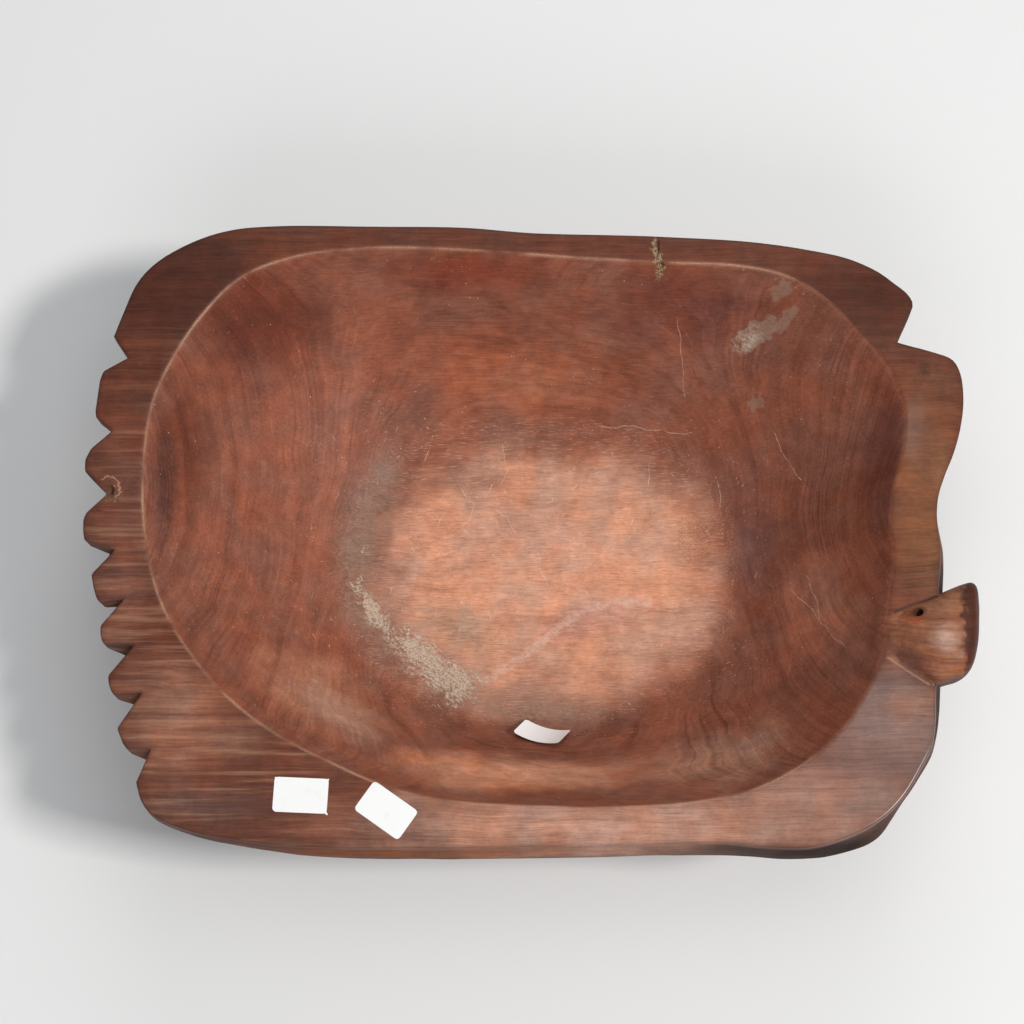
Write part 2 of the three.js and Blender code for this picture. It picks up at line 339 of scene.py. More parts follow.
def relax(shape: BMesh, verts: list[BMVert], rounds: int) -> None:
    """Softens the part of a shape that some of its corners make up, in so many rounds.

    Args:
        shape: The shape.
        verts: Its corners that may move.
        rounds: How often they are smoothed.
    """
    for _ in range(rounds):
        bmesh.ops.smooth_vert(
            shape, verts=verts, factor=0.5, use_axis_x=True, use_axis_y=True, use_axis_z=True)


def dress(thing: Object, finish: Material, sharp: float, node: str) -> None:
    """Gives a piece its finish, hangs it on the body that it rides on, and hides the solid that it stands
    for.

    Args:
        thing: The piece.
        finish: Its material.
        sharp: The angle in degrees from which its edges stay sharp.
        node: The solid that it replaces.
    """
    thing.data.shade_smooth()
    thing.data.set_sharp_from_angle(angle=math.radians(sharp))
    thing.data.materials.clear()
    thing.data.materials.append(finish)
    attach(thing, ROOT)
    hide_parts(node)


# Shader tools


def sums(operation: str, swapped: bool = False) -> Callable[["Wire", Any], "Wire"]:
    """Makes the method of one sum.

    Args:
        operation: The sum.
        swapped: Whether the other part comes first.

    Returns:
        The method.
    """
    def method(wire: "Wire", other: Any) -> "Wire":
        """Joins the two parts in the node of the sum."""
        return wire.board.sum(operation, *((other, wire) if swapped else (wire, other)))
    return method


class Wire:
    """A value or a vector that travels through a material, with sums written as sums."""

    def __init__(self, board: "Board", socket: bpy.types.NodeSocket) -> None:
        """Wraps an output socket."""
        self.board = board
        self.socket = socket

    __add__ = __radd__ = sums("ADD")
    __mul__ = __rmul__ = sums("MULTIPLY")
    __sub__, __rsub__ = sums("SUBTRACT"), sums("SUBTRACT", swapped=True)
    __truediv__, __rtruediv__ = sums("DIVIDE"), sums("DIVIDE", swapped=True)
    __pow__ = sums("POWER")
    most, least = sums("MAXIMUM"), sums("MINIMUM")

    @property
    def is_vector(self) -> bool:
        """Tells whether three numbers travel here."""
        return self.socket.type in ("VECTOR", "RGBA")

    def length(self) -> "Wire":
        """Gives a vector's length."""
        return self.board.node("VectorMath", {"operation": "LENGTH"}, {0: self}, "Value")

    def dot(self, other: Any) -> "Wire":
        """Gives the dot product of two vectors."""
        return self.board.node("VectorMath", {"operation": "DOT_PRODUCT"},
                               {0: self, 1: other}, "Value")

    def ease(self, low: float, high: float) -> "Wire":
        """Eases the value.

        Args:
            low: Where it becomes 0.
            high: Where it becomes 1. It may be the smaller of the two.

        Returns:
            The eased value.
        """
        flip = low > high
        return self.board.node(
            "MapRange", {"interpolation_type": "SMOOTHSTEP", "clamp": False},
            {"Value": self, "From Min": min(low, high), "From Max": max(low, high),
             "To Min": float(flip), "To Max": float(not flip)})


class Board:
    """The nodes of one material or of the world, and the colour that is being laid on."""

    def __init__(self, owner: Union[Material, bpy.types.World]) -> None:
        """Starts with an empty board.

        Args:
            owner: The material or the world whose nodes these are.
        """
        owner.use_nodes = True
        self.owner = owner
        self.tree = owner.node_tree
        self.tree.nodes.clear()
        self.colour: Any = None

    def node(self, kind: str, settings: dict[str, Any], inputs: dict[Any, Any],
             output: Union[int, str] = 0) -> Wire:
        """Adds one node.

        Args:
            kind: The node's type, after ShaderNode.
            settings: Its settings, set before its sockets.
            inputs: The values or wires of its sockets, by name or number.
            output: Which output is wanted.

        Returns:
            The output.
        """
        made = self.tree.nodes.new(f"ShaderNode{kind}")
        for key, value in settings.items():
            setattr(made, key, value)
        for key, value in inputs.items():
            socket = made.inputs[key]
            if isinstance(value, Wire):
                self.tree.links.new(value.socket, socket)
            else:
                socket.default_value = (*value, 1.0) if socket.type == "RGBA" else value
        return Wire(self, made.outputs[output])

    def sum(self, operation: str, left: Any, right: Any) -> Wire:
        """Adds the node for one sum.

        Args:
            operation: The sum.
            left: Its first part, a number, three numbers or a wire.
            right: Its second part.

        Returns:
            The result, a vector where either part is one.
        """
        wide = [isinstance(p, tuple) or isinstance(p, Wire) and p.is_vector for p in (left, right)]
        if not any(wide):
            return self.node("Math", {"operation": operation}, {0: left, 1: right})
        if operation == "MULTIPLY" and not all(wide):
            vector, scale = (left, right) if wide[0] else (right, left)
            return self.node("VectorMath", {"operation": "SCALE"}, {0: vector, "Scale": scale})
        first, second = ((p, p, p) if isinstance(p, (int, float)) else p for p in (left, right))
        return self.node("VectorMath", {"operation": operation}, {0: first, 1: second})

    def mix(self, share: Any, low: Any, high: Any, blend: str = "MIX") -> Wire:
        """Mixes two colours by a share."""
        return self.node("Mix", {"data_type": "RGBA", "blend_type": blend},
                         {0: share, 6: low, 7: high}, 2)

    def lay(self, share: Any, colour: Any, blend: str = "MIX") -> None:
        """Lays a colour over the one so far."""
        self.colour = self.mix(share, self.colour, colour, blend)

    def noise(self, place: Wire, scale: float, detail: float = 2.0, roughness: float = 0.5) -> Wire:
        """Reads soft noise between 0 and 1 at a place."""
        return self.node("TexNoise", {"noise_dimensions": "3D"},
                         {"Vector": place, "Scale": scale, "Detail": detail, "Roughness": roughness})

    def clouds(self, place: Wire, detail: float) -> Wire:
        """Reads three soft noises at once.

        Args:
            place: Where they are read.
            detail: How fine they are.

        Returns:
            A vector of three numbers, each between -0.5 and 0.5.
        """
        noises = self.node("TexNoise", {"noise_dimensions": "3D"},
                           {"Vector": place, "Scale": 1.0, "Detail": detail}, "Color")
        parts = self.node("SeparateColor", {}, {0: noises}).socket.node.outputs
        return self.vector(*(Wire(self, part) for part in parts)) - (0.5, 0.5, 0.5)

    def mask(self, name: str) -> Wire:
        """Reads a number stored on the mesh."""
        return self.node("Attribute", {"attribute_type": "GEOMETRY", "attribute_name": name}, {},
                         "Fac")

    def vector(self, x: Any, y: Any, z: Any) -> Wire:
        """Joins three values in a vector."""
        return self.node("CombineXYZ", {}, {0: x, 1: y, 2: z})

    def split(self, vector: Wire) -> list[Wire]:
        """Takes a vector apart."""
        made = self.node("SeparateXYZ", {}, {0: vector})
        return [Wire(self, output) for output in made.socket.node.outputs]

    def turned(self, place: Wire, degrees: float) -> Wire:
        """Turns a place about the upright axis."""
        spin = (0.0, 0.0, math.radians(degrees))
        return self.node("Mapping", {}, {"Vector": place, "Rotation": spin})

    def drawing_place(self, drawing: Drawing) -> Wire:
        """Reads the shaded point's place in drawing millimetres."""
        place = self.node("TexCoord", {}, {}, "Object")
        return (place - drawing.origin) * (1 / MM)

    def bump(self, strength: float, height: Wire) -> Wire:
        """Tilts the surface by a height in millimetres."""
        return self.node("Bump", {}, {"Strength": strength, "Distance": MM, "Height": height})

    def patch(self, place: Wire, middle: Place, reach: Place, turn: float = 0.0, soft: float = 0.5) -> Wire:
        """Marks a soft oval patch.

        Args:
            place: The place in drawing millimetres.
            middle: The patch's middle.
            reach: Its half sizes.
            turn: Its turn in plan, in degrees.
            soft: The share of its reach over which it fades.

        Returns:
            1 in the patch and 0 outside.
        """
        if turn:
            spin = (0.0, 0.0, math.radians(turn))
            local = self.node("Mapping", {"vector_type": "TEXTURE"},
                              {"Vector": place, "Location": middle, "Rotation": spin, "Scale": reach})
        else:
            local = (place - middle) / reach
        return local.length().ease(1.0, 1.0 - soft)

    def stroke(self, place: Wire, path: Sequence[Plan], width: float, soft: float) -> Wire:
        """Marks a line in plan.

        Args:
            place: The place in drawing millimetres, with its height left out.
            path: The line's points.
            width: Its width in millimetres.
            soft: The share of its half width over which it fades.

        Returns:
            1 on the line and 0 off it.
        """
        def off(start: Plan, end: Plan) -> Wire:
            """Measures the distance from one straight piece.

            Args:
                start: Where the piece starts.
                end: Where it ends.

            Returns:
                The distance in plan.
            """
            along = (end[0] - start[0], end[1] - start[1], 0.0)
            gap = place - (*start, 0.0)
            share = (gap.dot(along) / (along[0] ** 2 + along[1] ** 2)).most(0.0).least(1.0)
            return (gap - self.sum("MULTIPLY", along, share)).length()

        distance = reduce(Wire.least, (off(start, end) for start, end in zip(path, path[1:])))
        return distance.ease(width / 2, width / 2 * (1 - soft))

    def end(self, kind: str, shader: Wire) -> None:
        """Joins a shader to the owner's output."""
        self.tree.links.new(shader.socket, self.tree.nodes.new(f"ShaderNode{kind}").inputs["Surface"])

    def finish(self, **sockets: Any) -> Material:
        """Ends the board in a Principled shader.

        Args:
            sockets: Values or wires of its sockets, with _ for a space in their names.

        Returns:
            The finished material.
        """
        inputs = {key.replace("_", " "): value for key, value in sockets.items()}
        self.end("OutputMaterial", self.node("BsdfPrincipled", {}, inputs))
        return self.owner


# Finishes


class Ground(Enum):
    """The part of the bowl that a tone patch lies on."""

    ALL = "all"
    RIM = "rim"
    CAVITY = "cavity"
    LUG = "lug"
    UNDER = "under"


@dataclass(frozen=True)
class TonePatch:
    """A broad patch of another tone, with edges that wander. Most are stains and tones of the wood; some are
    painted highlight, sheen or shade.
    """

    middle: Place
    reach: Place
    colour: Colour
    share: float = 0.85
    turn: float = 0.0
    soft: float = 0.9


# Tone patches narrower than this have ragged edges, in millimetres
NARROW_PATCH = 25
# Each group's tone patches, from the broadest to the smallest. Most are the wood's own stains and tones; the
# painted highlights, sheen and shade are marked one by one
TONE_PATCHES = (
    (Ground.RIM, (
        TonePatch((-178, 128, 0), (75, 62, 40), (0.062, 0.0165, 0.009), 0.95),
        TonePatch((190, 118, 0), (55, 42, 40), (0.066, 0.0155, 0.006), 0.95),
        TonePatch((216, 20, 0), (32, 80, 40), (0.195, 0.068, 0.027), 0.95),
        TonePatch((208, -20, 0), (20, 34, 40), (0.190, 0.067, 0.023), 0.8),
        TonePatch((-205, -10, 0), (36, 92, 40), (0.165, 0.058, 0.035)),
        TonePatch((-198, -42, 0), (18, 28, 40), (0.25, 0.100, 0.062), 0.6),
        TonePatch((-166, -106, 0), (50, 40, 40), (0.31, 0.13, 0.078), 0.9),
        # Partly the near rim's paler worn wood and partly a painted sheen
        TonePatch((40, -164, 0), (175, 34, 40), (0.46, 0.235, 0.162), 0.95),
        TonePatch((-158, -152, 0), (48, 15, 40), (0.13, 0.060, 0.044)),
        TonePatch((150, -152, 0), (58, 34, 40), (0.30, 0.140, 0.092), 0.9),
        # Painted sheen over the wood's tone at the lower right of the rim
        TonePatch((188, -110, 0), (36, 34, 40), (0.205, 0.112, 0.087), 0.9),
        TonePatch((176, -148, 0), (26, 16, 40), (0.22, 0.095, 0.060), 0.8),
        TonePatch((203, -100, 0), (22, 15, 40), (0.27, 0.125, 0.078), 0.8),
    )),
    (Ground.LUG, (
        TonePatch((222, -52, 6), (15, 13, 16), (0.25, 0.098, 0.046), 0.8),
        # Painted highlight on the top of the knob
        TonePatch((219, -69, 8), (12, 11, 12), (0.375, 0.222, 0.160), 0.9),
        TonePatch((228, -82, 0), (8, 8, 16), (0.24, 0.080, 0.032), 0.8, turn=30),
    )),
    (Ground.ALL, (
        # Painted shade on the lug's lower flank, which faces away from the light
        TonePatch((202, -79, 0), (24, 8.5, 18), (0.092, 0.031, 0.020), 0.95, turn=-41, soft=0.95),
        # Painted shade on the knob's end face, which slopes down and away
        TonePatch((249, -66, -6), (24, 60, 60), (0.060, 0.016, 0.008), 0.97, soft=0.14),
    )),
    (Ground.LUG, (
        # Painted shade at the lug's root, where it rolls down into the cavity
        TonePatch((190, -66, -4), (7, 16, 14), (0.12, 0.036, 0.020), 0.8),
        TonePatch((205, -57, 3), (11, 6, 12), (0.27, 0.066, 0.018), 0.8, turn=15),
    )),
    (Ground.CAVITY, (
        TonePatch((-142, 112, -22), (72, 52, 60), (0.120, 0.022, 0.009), 0.95),
        TonePatch((-172, 50, -18), (30, 62, 36), (0.138, 0.037, 0.019)),
        TonePatch((-183, 16, -12), (11, 44, 20), (0.085, 0.036, 0.030)),
        TonePatch((-20, 140, -14), (70, 16, 26), (0.212, 0.043, 0.021)),
        TonePatch((95, 122, -26), (75, 32, 42), (0.165, 0.050, 0.034), 0.9),
        TonePatch((5, 100, -62), (78, 30, 40), (0.38, 0.122, 0.062), 0.95),
        TonePatch((196, 30, -10), (18, 72, 26), (0.155, 0.050, 0.036)),
        TonePatch((165, -40, -44), (38, 44, 44), (0.45, 0.170, 0.102)),
        TonePatch((110, -122, -32), (58, 30, 42), (0.42, 0.222, 0.150), 0.9),
        TonePatch((-100, -92, -46), (52, 42, 48), (0.44, 0.212, 0.134), 0.9),
        TonePatch((0, -130, -36), (88, 26, 38), (0.68, 0.295, 0.165), 0.95),
        TonePatch((20, -10, -86), (116, 90, 26), (0.58, 0.280, 0.178), 0.97, soft=0.42),
        # Partly the floor's paler worn wood and partly a painted highlight in its middle
        TonePatch((22, 8, -86), (86, 50, 26), (0.60, 0.290, 0.188), 0.85),
        TonePatch((-48, 4, -86), (26, 36, 26), (0.60, 0.305, 0.205), 0.85),
        TonePatch((40, -36, -86), (46, 16, 26), (0.50, 0.225, 0.165), 0.7, turn=12),
        TonePatch((76, 26, -86), (20, 14, 26), (0.50, 0.235, 0.14), 0.7, turn=30),
        TonePatch((20, 34, -86), (24, 14, 26), (0.36, 0.19, 0.125), 0.5),
        TonePatch((-30, -40, -86), (36, 18, 26), (0.36, 0.225, 0.150), 0.75, turn=-28),
        TonePatch((-88, 10, -82), (19, 60, 30), (0.180, 0.079, 0.054), 0.9),
        TonePatch((130, 20, -74), (20, 60, 34), (0.20, 0.083, 0.066), 0.8),
    )),
    (Ground.UNDER, (
        # Painted shade on the hull's front side, under the rim
        TonePatch((160, -172, -8), (130, 34, 26), (0.014, 0.004, 0.003), 0.97, soft=0.8),
        TonePatch((-60, -174, -6), (120, 14, 18), (0.22, 0.058, 0.013), 0.85),
        # Painted shade on the flange's side below the lug, here and on the next line
        TonePatch((219, -36, -8), (8, 16, 16), (0.022, 0.008, 0.005), 0.95, soft=0.6),
        TonePatch((216, -104, -8), (10, 22, 16), (0.022, 0.008, 0.005), 0.95, soft=0.6),
    )),
)

# Hairline scratches on the cavity's floor and walls
SCRATCHES = (
    ((-26.6, 41.3), (-22.3, 31.6), (-24.3, 21.6), (-31.8, 15.9)),
    ((-8.8, 27.0), (-3.3, 21.5), (2.0, 15.2)),
    ((13.9, 3.5), (19.2, -15.8)),
    ((-11.2, 2.0), (-4.0, -4.8)),
    ((-5.3, 66.3), (-2.6, 50.3), (-6.6, 43.4)),
    ((77.5, 55.2), (75.4, 39.9)),
    ((114.6, 42.6), (115.9, 28.8)),
    ((50.0, 76.4), (66.0, 74.0), (101.0, 69.0)),
    ((91.0, 118.0), (96.0, 86.0)),
    ((143.0, 62.0), (158.0, 34.0)),
    ((150.5, -24.0), (171.0, -66.0)),
    ((158.0, -20.0), (163.0, -50.0)),
)
# Lines in plan: a path and a width
SILT_LINES = (
    (((-84, -16), (-76, -32), (-64, -46)), 20.0),
    (((-58, -49), (-46, -60), (-27, -73)), 46.0),
)
DUST_LINE = ((-70, 48), (-84, 10), (-84, -22), (-68, -52), (-14, -84), (44, -88)), 44.0
PALE_STREAK = ((-14, -70), (13, -51), (26, -39), (41, -30), (58, -25), (75, -25)), 8.0
RIM_SPLIT = ((76, 152), (77, 146), (79.5, 140), (79, 135)), 5.0
KNOT_ARC = ((-213, 17.5), (-208, 18.6), (-204.2, 15.5), (-203.3, 10.5), (-206, 5)), 1.6
LUG_CREASE = ((195, -53), (203.8, -49.2), (210.8, -47), (216, -45)), 3.2
LUG_BRINK = ((190, -77), (195, -80.5), (203, -86.2), (210, -90.6)), 2.0

# Spots of dried film on the wall: middle, half sizes, turn and share
FILM_SPOTS = (
    ((134, 110.5, -30), (13, 6.5, 30), 20, 1.0),
    ((148, 114, -18), (8, 4, 30), 35, 0.8),
    ((145, 127, -6), (7, 4.5, 30), 10, 0.8),
    ((134.7, 78.5, -51), (5, 4, 30), 10, 0.7),
)
# The turns of three sets of hairline cuts, in degrees
HAIR_TURNS = (58.0, -24.0, -71.0)
LEVEL = (1.0, 1.0, 0.0)


@dataclass(frozen=True)
class CarvedWood:
    """Oiled dark hardwood, worn by long use, with its rings round a pith above the bowl."""

    rim: Colour = (0.130, 0.037, 0.018)
    wall: Colour = (0.245, 0.084, 0.050)
    lug: Colour = (0.24, 0.090, 0.045)
    # hull: painted shade, the darker tone of the underside for the shade under the bowl
    hull: Colour = (0.085, 0.034, 0.022)
    bare_wood_and_highlight: Colour = (0.55, 0.31, 0.20)
    shade: Colour = (0.075, 0.028, 0.026)
    black: Colour = (0.035, 0.015, 0.010)
    cool: Colour = (0.93, 1.02, 1.10)
    warm: Colour = (1.08, 0.98, 0.90)
    silt: Colour = (0.66, 0.55, 0.42)
    film: Colour = (0.33, 0.235, 0.175)
    streak: Colour = (0.66, 0.45, 0.37)
    scratch: Colour = (0.76, 0.56, 0.42)
    speck: Colour = (0.75, 0.58, 0.44)
    rot: Colour = (0.42, 0.30, 0.17)
    knot: Colour = (0.26, 0.15, 0.085)
    pale_fibre: Colour = (0.74, 0.46, 0.30)
    dark_fibre: Colour = (0.24, 0.085, 0.045)
    pale_tear: Colour = (0.72, 0.44, 0.26)
    dark_tear: Colour = (0.20, 0.075, 0.04)
    pith_y: float = 15.0
    pith_z: float = 64.0
    wander: float = 8.0
    curl: float = 6.0

    def material(self, drawing: Drawing) -> Material:
        """Builds the wood.

        Args:
            drawing: Where the drawing lies.

        Returns:
            The material.
        """
        return WoodBoard(self, drawing).finished()


class WoodBoard(Board):
    """The wood's board, with the places, masks and grits that its marks are drawn with.

    Places are in drawing millimetres. Loose and ragged ones are shaken, so that edges wander or turn
    ragged, and flat ones have their height left out.
    """

    def __init__(self, wood: CarvedWood, drawing: Drawing) -> None:
        """Starts the board.

        Args:
            wood: The wood's colours and rings.
            drawing: Where the drawing lies.
        """
        super().__init__(bpy.data.materials.new("carved_wood"))
        self.wood = wood
        self.place = place = self.drawing_place(drawing)
        self.height = self.split(place)[2]
        self.cavity, self.lug, self.under = (self.mask(name) for name in ("cavity", "lug", "under"))
        self.loose = place + self.clouds(place * 0.035, 1.0) * 38.0
        self.ragged = place + self.clouds(place * 0.22, 2.0) * 9.0
        self.flat, self.ragged_flat = place * LEVEL, self.ragged * LEVEL
        self.grit = self.noise(place, 0.55, 4.0, 0.75)
        self.fine = self.noise(place, 1.6, 2.0, 0.7)

    def finished(self) -> Material:
        """Draws the wood and finishes its material.

        Returns:
            The material.
        """
        place, cavity, lug, under = self.place, self.cavity, self.lug, self.under
        figure, fibre, pores = self.grain()
        self.colour = self.mix(lug, self.mix(cavity, self.wood.rim, self.wood.wall), self.wood.lug)
        grounds = {Ground.ALL: 1.0, Ground.RIM: (1.0 - cavity) * (1.0 - lug), Ground.CAVITY: cavity,
                   Ground.LUG: lug, Ground.UNDER: under}
        # Painted shade: the underside is darkened towards the hull colour
        self.lay(under * 0.9, self.wood.hull)
        for ground, ground_patches in TONE_PATCHES:
            for tone_patch in ground_patches:
                spot = self.ragged if min(tone_patch.reach[:2]) < NARROW_PATCH else self.loose
                share = self.patch(spot, tone_patch.middle, tone_patch.reach, tone_patch.turn, tone_patch.soft) * tone_patch.share
                self.lay(share * grounds[ground], tone_patch.colour)

        # The wood's own tone, hue and pores, and broad ribbons along the near rim
        mottle = self.noise(place, 0.10, 4.0, 0.7).ease(0.28, 0.72) * 0.32 + 0.84
        contrast = 2.5 - self.height.ease(-72.0, -84.0) * 0.9
        tone = (1.0 + (figure - 0.5) * contrast) * mottle
        shades = self.node("CombineColor", {}, {0: tone, 1: tone ** 1.15, 2: tone ** 1.2})
        self.lay(1.0, shades, "MULTIPLY")
        hue = self.noise(place, 0.035, 2.0, 0.6).ease(0.35, 0.65)
        self.lay(1.0, self.mix(hue, self.wood.cool, self.wood.warm), "MULTIPLY")
        self.lay(pores * 0.35, self.wood.black)
        ribbons = self.noise(place * (0.013, 0.26, 0.26), 1.0, 3.0, 0.6)
        near = grounds[Ground.RIM] * self.patch(self.loose, (-150, -60, 0), (110, 190, 40))
        self.lay(ribbons.ease(0.50, 0.70) * near * 0.24, self.wood.bare_wood_and_highlight)
        self.lay(ribbons.ease(0.52, 0.34) * near * 0.42, self.wood.shade)

        self.edges()
        film = self.floor()
        self.cuts()
        self.rot_and_knots()
        self.lug_painted_light()

        normal = self.bump(0.6, fibre * 0.10 - pores * 0.12)
        worn = self.noise(place, 0.05, 3.0).ease(0.35, 0.7)
        roughness = 0.42 + cavity * 0.08 + worn * 0.1 + fibre * 0.08 + film * 0.25 + under * 0.2
        polish = self.patch(self.loose, (172, -128, 0), (95, 62, 60), 0, 0.8) * 0.72
        knob = self.patch(place, (218, -69.5, 8), (10, 12, 12), 0, 0.9) * 0.8
        rub = self.patch(self.ragged, (210, 46, 0), (9, 26, 20), -8, 0.8) * 0.9
        coat = (polish.most(knob).most(rub) + 0.04) * (1.0 - cavity) * (1.0 - under)
        return self.finish(Base_Color=self.colour, Roughness=roughness, Normal=normal,
                           Specular_IOR_Level=0.2, Coat_Weight=coat, Coat_Roughness=0.26)

    def grain(self) -> tuple[Wire, Wire, Wire]:
        """Draws the rings, the fibres and the pores.

        Returns:
            The figure's shade, the fibres and the pores, each from 0 to 1.
        """
        wood, place = self.wood, self.place
        bend = (self.noise(place * (0.016, 0.02, 0.02), 1.0, 2.0) - 0.5) * wood.curl
        swept = place + self.vector(0.0, bend, bend)
        x, y, z = self.split(swept)
        sway = self.noise(place * (0.005, 0.018, 0.018), 1.0, 3.0) - 0.5
        reach = ((y - wood.pith_y) ** 2.0 + (z - wood.pith_z) ** 2.0) ** 0.5 + sway * wood.wander
        bands = self.noise(self.vector(x / 260.0, reach / 4.5, y / 300.0), 1.0, 4.0, 0.6)
        lines = self.noise(self.vector(x / 80.0, reach / 0.95, y / 120.0), 1.0, 2.0, 0.6)
        fibre = self.noise(swept * (0.07, 1.1, 1.1), 1.0, 3.0, 0.7)
        pores = self.noise(swept * (0.14, 2.2, 2.2), 1.0, 1.0).ease(0.64, 0.75)
        strong = self.noise(place * (0.012, 0.02, 0.02), 1.0, 2.0).ease(0.40, 0.58)
        seams = lines.ease(0.54, 0.64) * strong
        gleams = lines.ease(0.46, 0.38) * strong
        figure = bands * 0.38 + lines * 0.22 + fibre * 0.40 - seams * 0.11 + gleams * 0.09
        return figure, fibre, pores

    def edges(self) -> None:
        """Paints shade along the outer edges, and a pale line along the cavity's edge that is partly worn
        wood and partly painted highlight.
        """
        # Painted shade along the rim's outer edges
        self.lay(self.mask("rim_edge_shade") * 0.35, self.wood.black)
        side = self.split(self.place)[0].ease(190.0, 120.0) * 0.75 + 0.08
        # A pale line along the cavity's edge: partly worn wood, partly painted highlight, stronger towards
        # the left end
        lip = self.mask("lip") * self.noise(self.place, 0.04, 3.0).ease(0.3, 0.62) * side
        self.lay(lip * self.fine.ease(0.2, 0.6), self.wood.bare_wood_and_highlight)

    def floor(self) -> Wire:
        """Lays raised fibres, silt, film, the pale streak and a torn patch in the cavity.

        Returns:
            How much silt or film lies on the wood, from 0 to 1.
        """
        place, cavity, fine = self.place, self.cavity, self.fine
        fleck = self.noise(place * (0.16, 1.7, 1.7), 1.0, 2.0, 0.7)
        level = self.height.ease(-77.0, -85.0)
        self.lay(fleck.ease(0.55, 0.68) * level * 0.32, self.wood.pale_fibre)
        self.lay(fleck.ease(0.45, 0.33) * level * 0.35, self.wood.dark_fibre)

        core = reduce(Wire.most, (self.stroke(self.ragged_flat, *line, 1.0) for line in SILT_LINES))
        laid = self.noise(self.turned(place, 41.0) * (0.22, 0.9, 0.9), 1.0, 3.0, 0.7)
        clumps = self.grit * 0.35 + laid * 0.30 + fine * 0.15 + self.noise(place, 0.09, 2.0) * 0.2
        silt = (core * 0.17 + clumps).ease(0.58, 0.69) * core.ease(0.0, 0.3)
        dust = self.stroke(self.ragged_flat, *DUST_LINE, 1.0)
        haze = dust * (dust * 0.10 + clumps).ease(0.46, 0.66) * 0.5
        film = reduce(Wire.most, (self.patch(self.ragged, *spot, 0.3) * share
                                  for *spot, share in FILM_SPOTS)) * clumps.ease(0.30, 0.52)
        self.lay(haze * cavity, self.wood.film)
        self.lay(silt * cavity * 0.8, self.mix(silt * fine.ease(0.35, 0.6), self.wood.film, self.wood.silt))
        self.lay(film * cavity * 0.6, self.wood.film)
        crust = self.patch(self.ragged, (128, 108, -36), (12, 7, 30), 20, 0.9) * clumps.ease(0.44, 0.60)
        self.lay(crust * cavity * 0.7, self.wood.silt)

        streak = self.stroke(self.ragged_flat, *PALE_STREAK, 0.9)
        self.lay(streak * cavity * 0.6 * clumps.ease(0.40, 0.58), self.wood.streak)
        torn = self.patch(self.ragged, (101, 12, -85), (17, 24, 30), 0, 0.8) * cavity
        self.lay(torn * fine.ease(0.5, 0.62) * 0.4, self.wood.pale_tear)
        self.lay(torn * fine.ease(0.42, 0.34) * 0.5, self.wood.dark_tear)
        return film.most(silt)

    def cuts(self) -> None:
        """Scratches the cavity and sprinkles it with pale specks."""
        low = self.height.ease(-50.0, -78.0)
        drifting = self.place + self.clouds(self.place * 0.07, 2.0) * 7.0
        flat = drifting * LEVEL
        cuts = reduce(Wire.most, (self.stroke(flat, path, 0.6, 0.9) for path in SCRATCHES))
        for turn in HAIR_TURNS:
            slant = self.turned(drifting, turn)
            hair = self.noise(slant * (0.07, 0.95, 0.95), 1.0, 0.0).ease(0.78, 0.84) * (low * 0.7 + 0.3)
            cuts = cuts.most(hair * self.noise(slant, 0.035, 1.0).ease(0.48, 0.60))
        self.lay(cuts * self.cavity * self.grit.ease(0.36, 0.54) * 0.5, self.wood.scratch)
        specks = self.node("TexVoronoi", {}, {"Vector": self.place, "Scale": 0.16}, "Distance")
        specks = specks.ease(0.065, 0.03) * self.noise(self.place, 0.03, 2.0).ease(0.4, 0.6)
        self.lay(specks * self.cavity * 0.7, self.wood.speck)

    def rot_and_knots(self) -> None:
        """Paints the rotten split in the back rim and the two knots."""
        fine, top = self.fine, self.height.ease(-12.0, -7.0)
        split = self.stroke(self.ragged_flat, *RIM_SPLIT, 0.5)
        self.lay(split * top * 0.9, self.mix(fine.ease(0.45, 0.6), self.wood.rot, self.wood.black))
        knot = self.patch(self.ragged, (-208, 10.5, 0), (7, 8, 30), 0, 0.9)
        self.lay(knot * 0.65, self.mix(fine.ease(0.40, 0.6), self.wood.knot, self.wood.black))
        arc = self.stroke(self.ragged_flat, *KNOT_ARC, 1.0)
        self.lay(arc * top * self.grit.ease(0.3, 0.5) * 0.7, self.wood.bare_wood_and_highlight)
        dark_knot = self.patch(self.ragged, (217, 78, 0), (4.5, 8, 30), -20, 0.9)
        self.lay(dark_knot * fine.ease(0.35, 0.6) * 0.75, self.wood.black)

    def lug_painted_light(self) -> None:
        """Paints shade into the lug's crease and into the mouth of the cord hole, and a painted highlight
        along the brink beside it.
        """
        rim_top = self.height.ease(-12.0, -7.0) * (1.0 - self.cavity)
        # Painted shade in the crease beside the lug's neck
        crease = self.stroke(self.flat, *LUG_CREASE, 0.9)
        self.lay(crease * rim_top * 0.75, self.wood.black)
        # Painted highlight along the brink below the lug
        brink = self.stroke(self.flat, *LUG_BRINK, 1.0)
        self.lay(brink * rim_top * self.grit.ease(0.3, 0.5) * 0.35, self.wood.bare_wood_and_highlight)
        # Painted shade at the mouth of the cord hole
        mouth = self.patch(self.place, (206.2, -54, 3), (5.4, 3.6, 8), 15, 0.5)
        self.lay(mouth * self.lug * 0.7, self.wood.black)


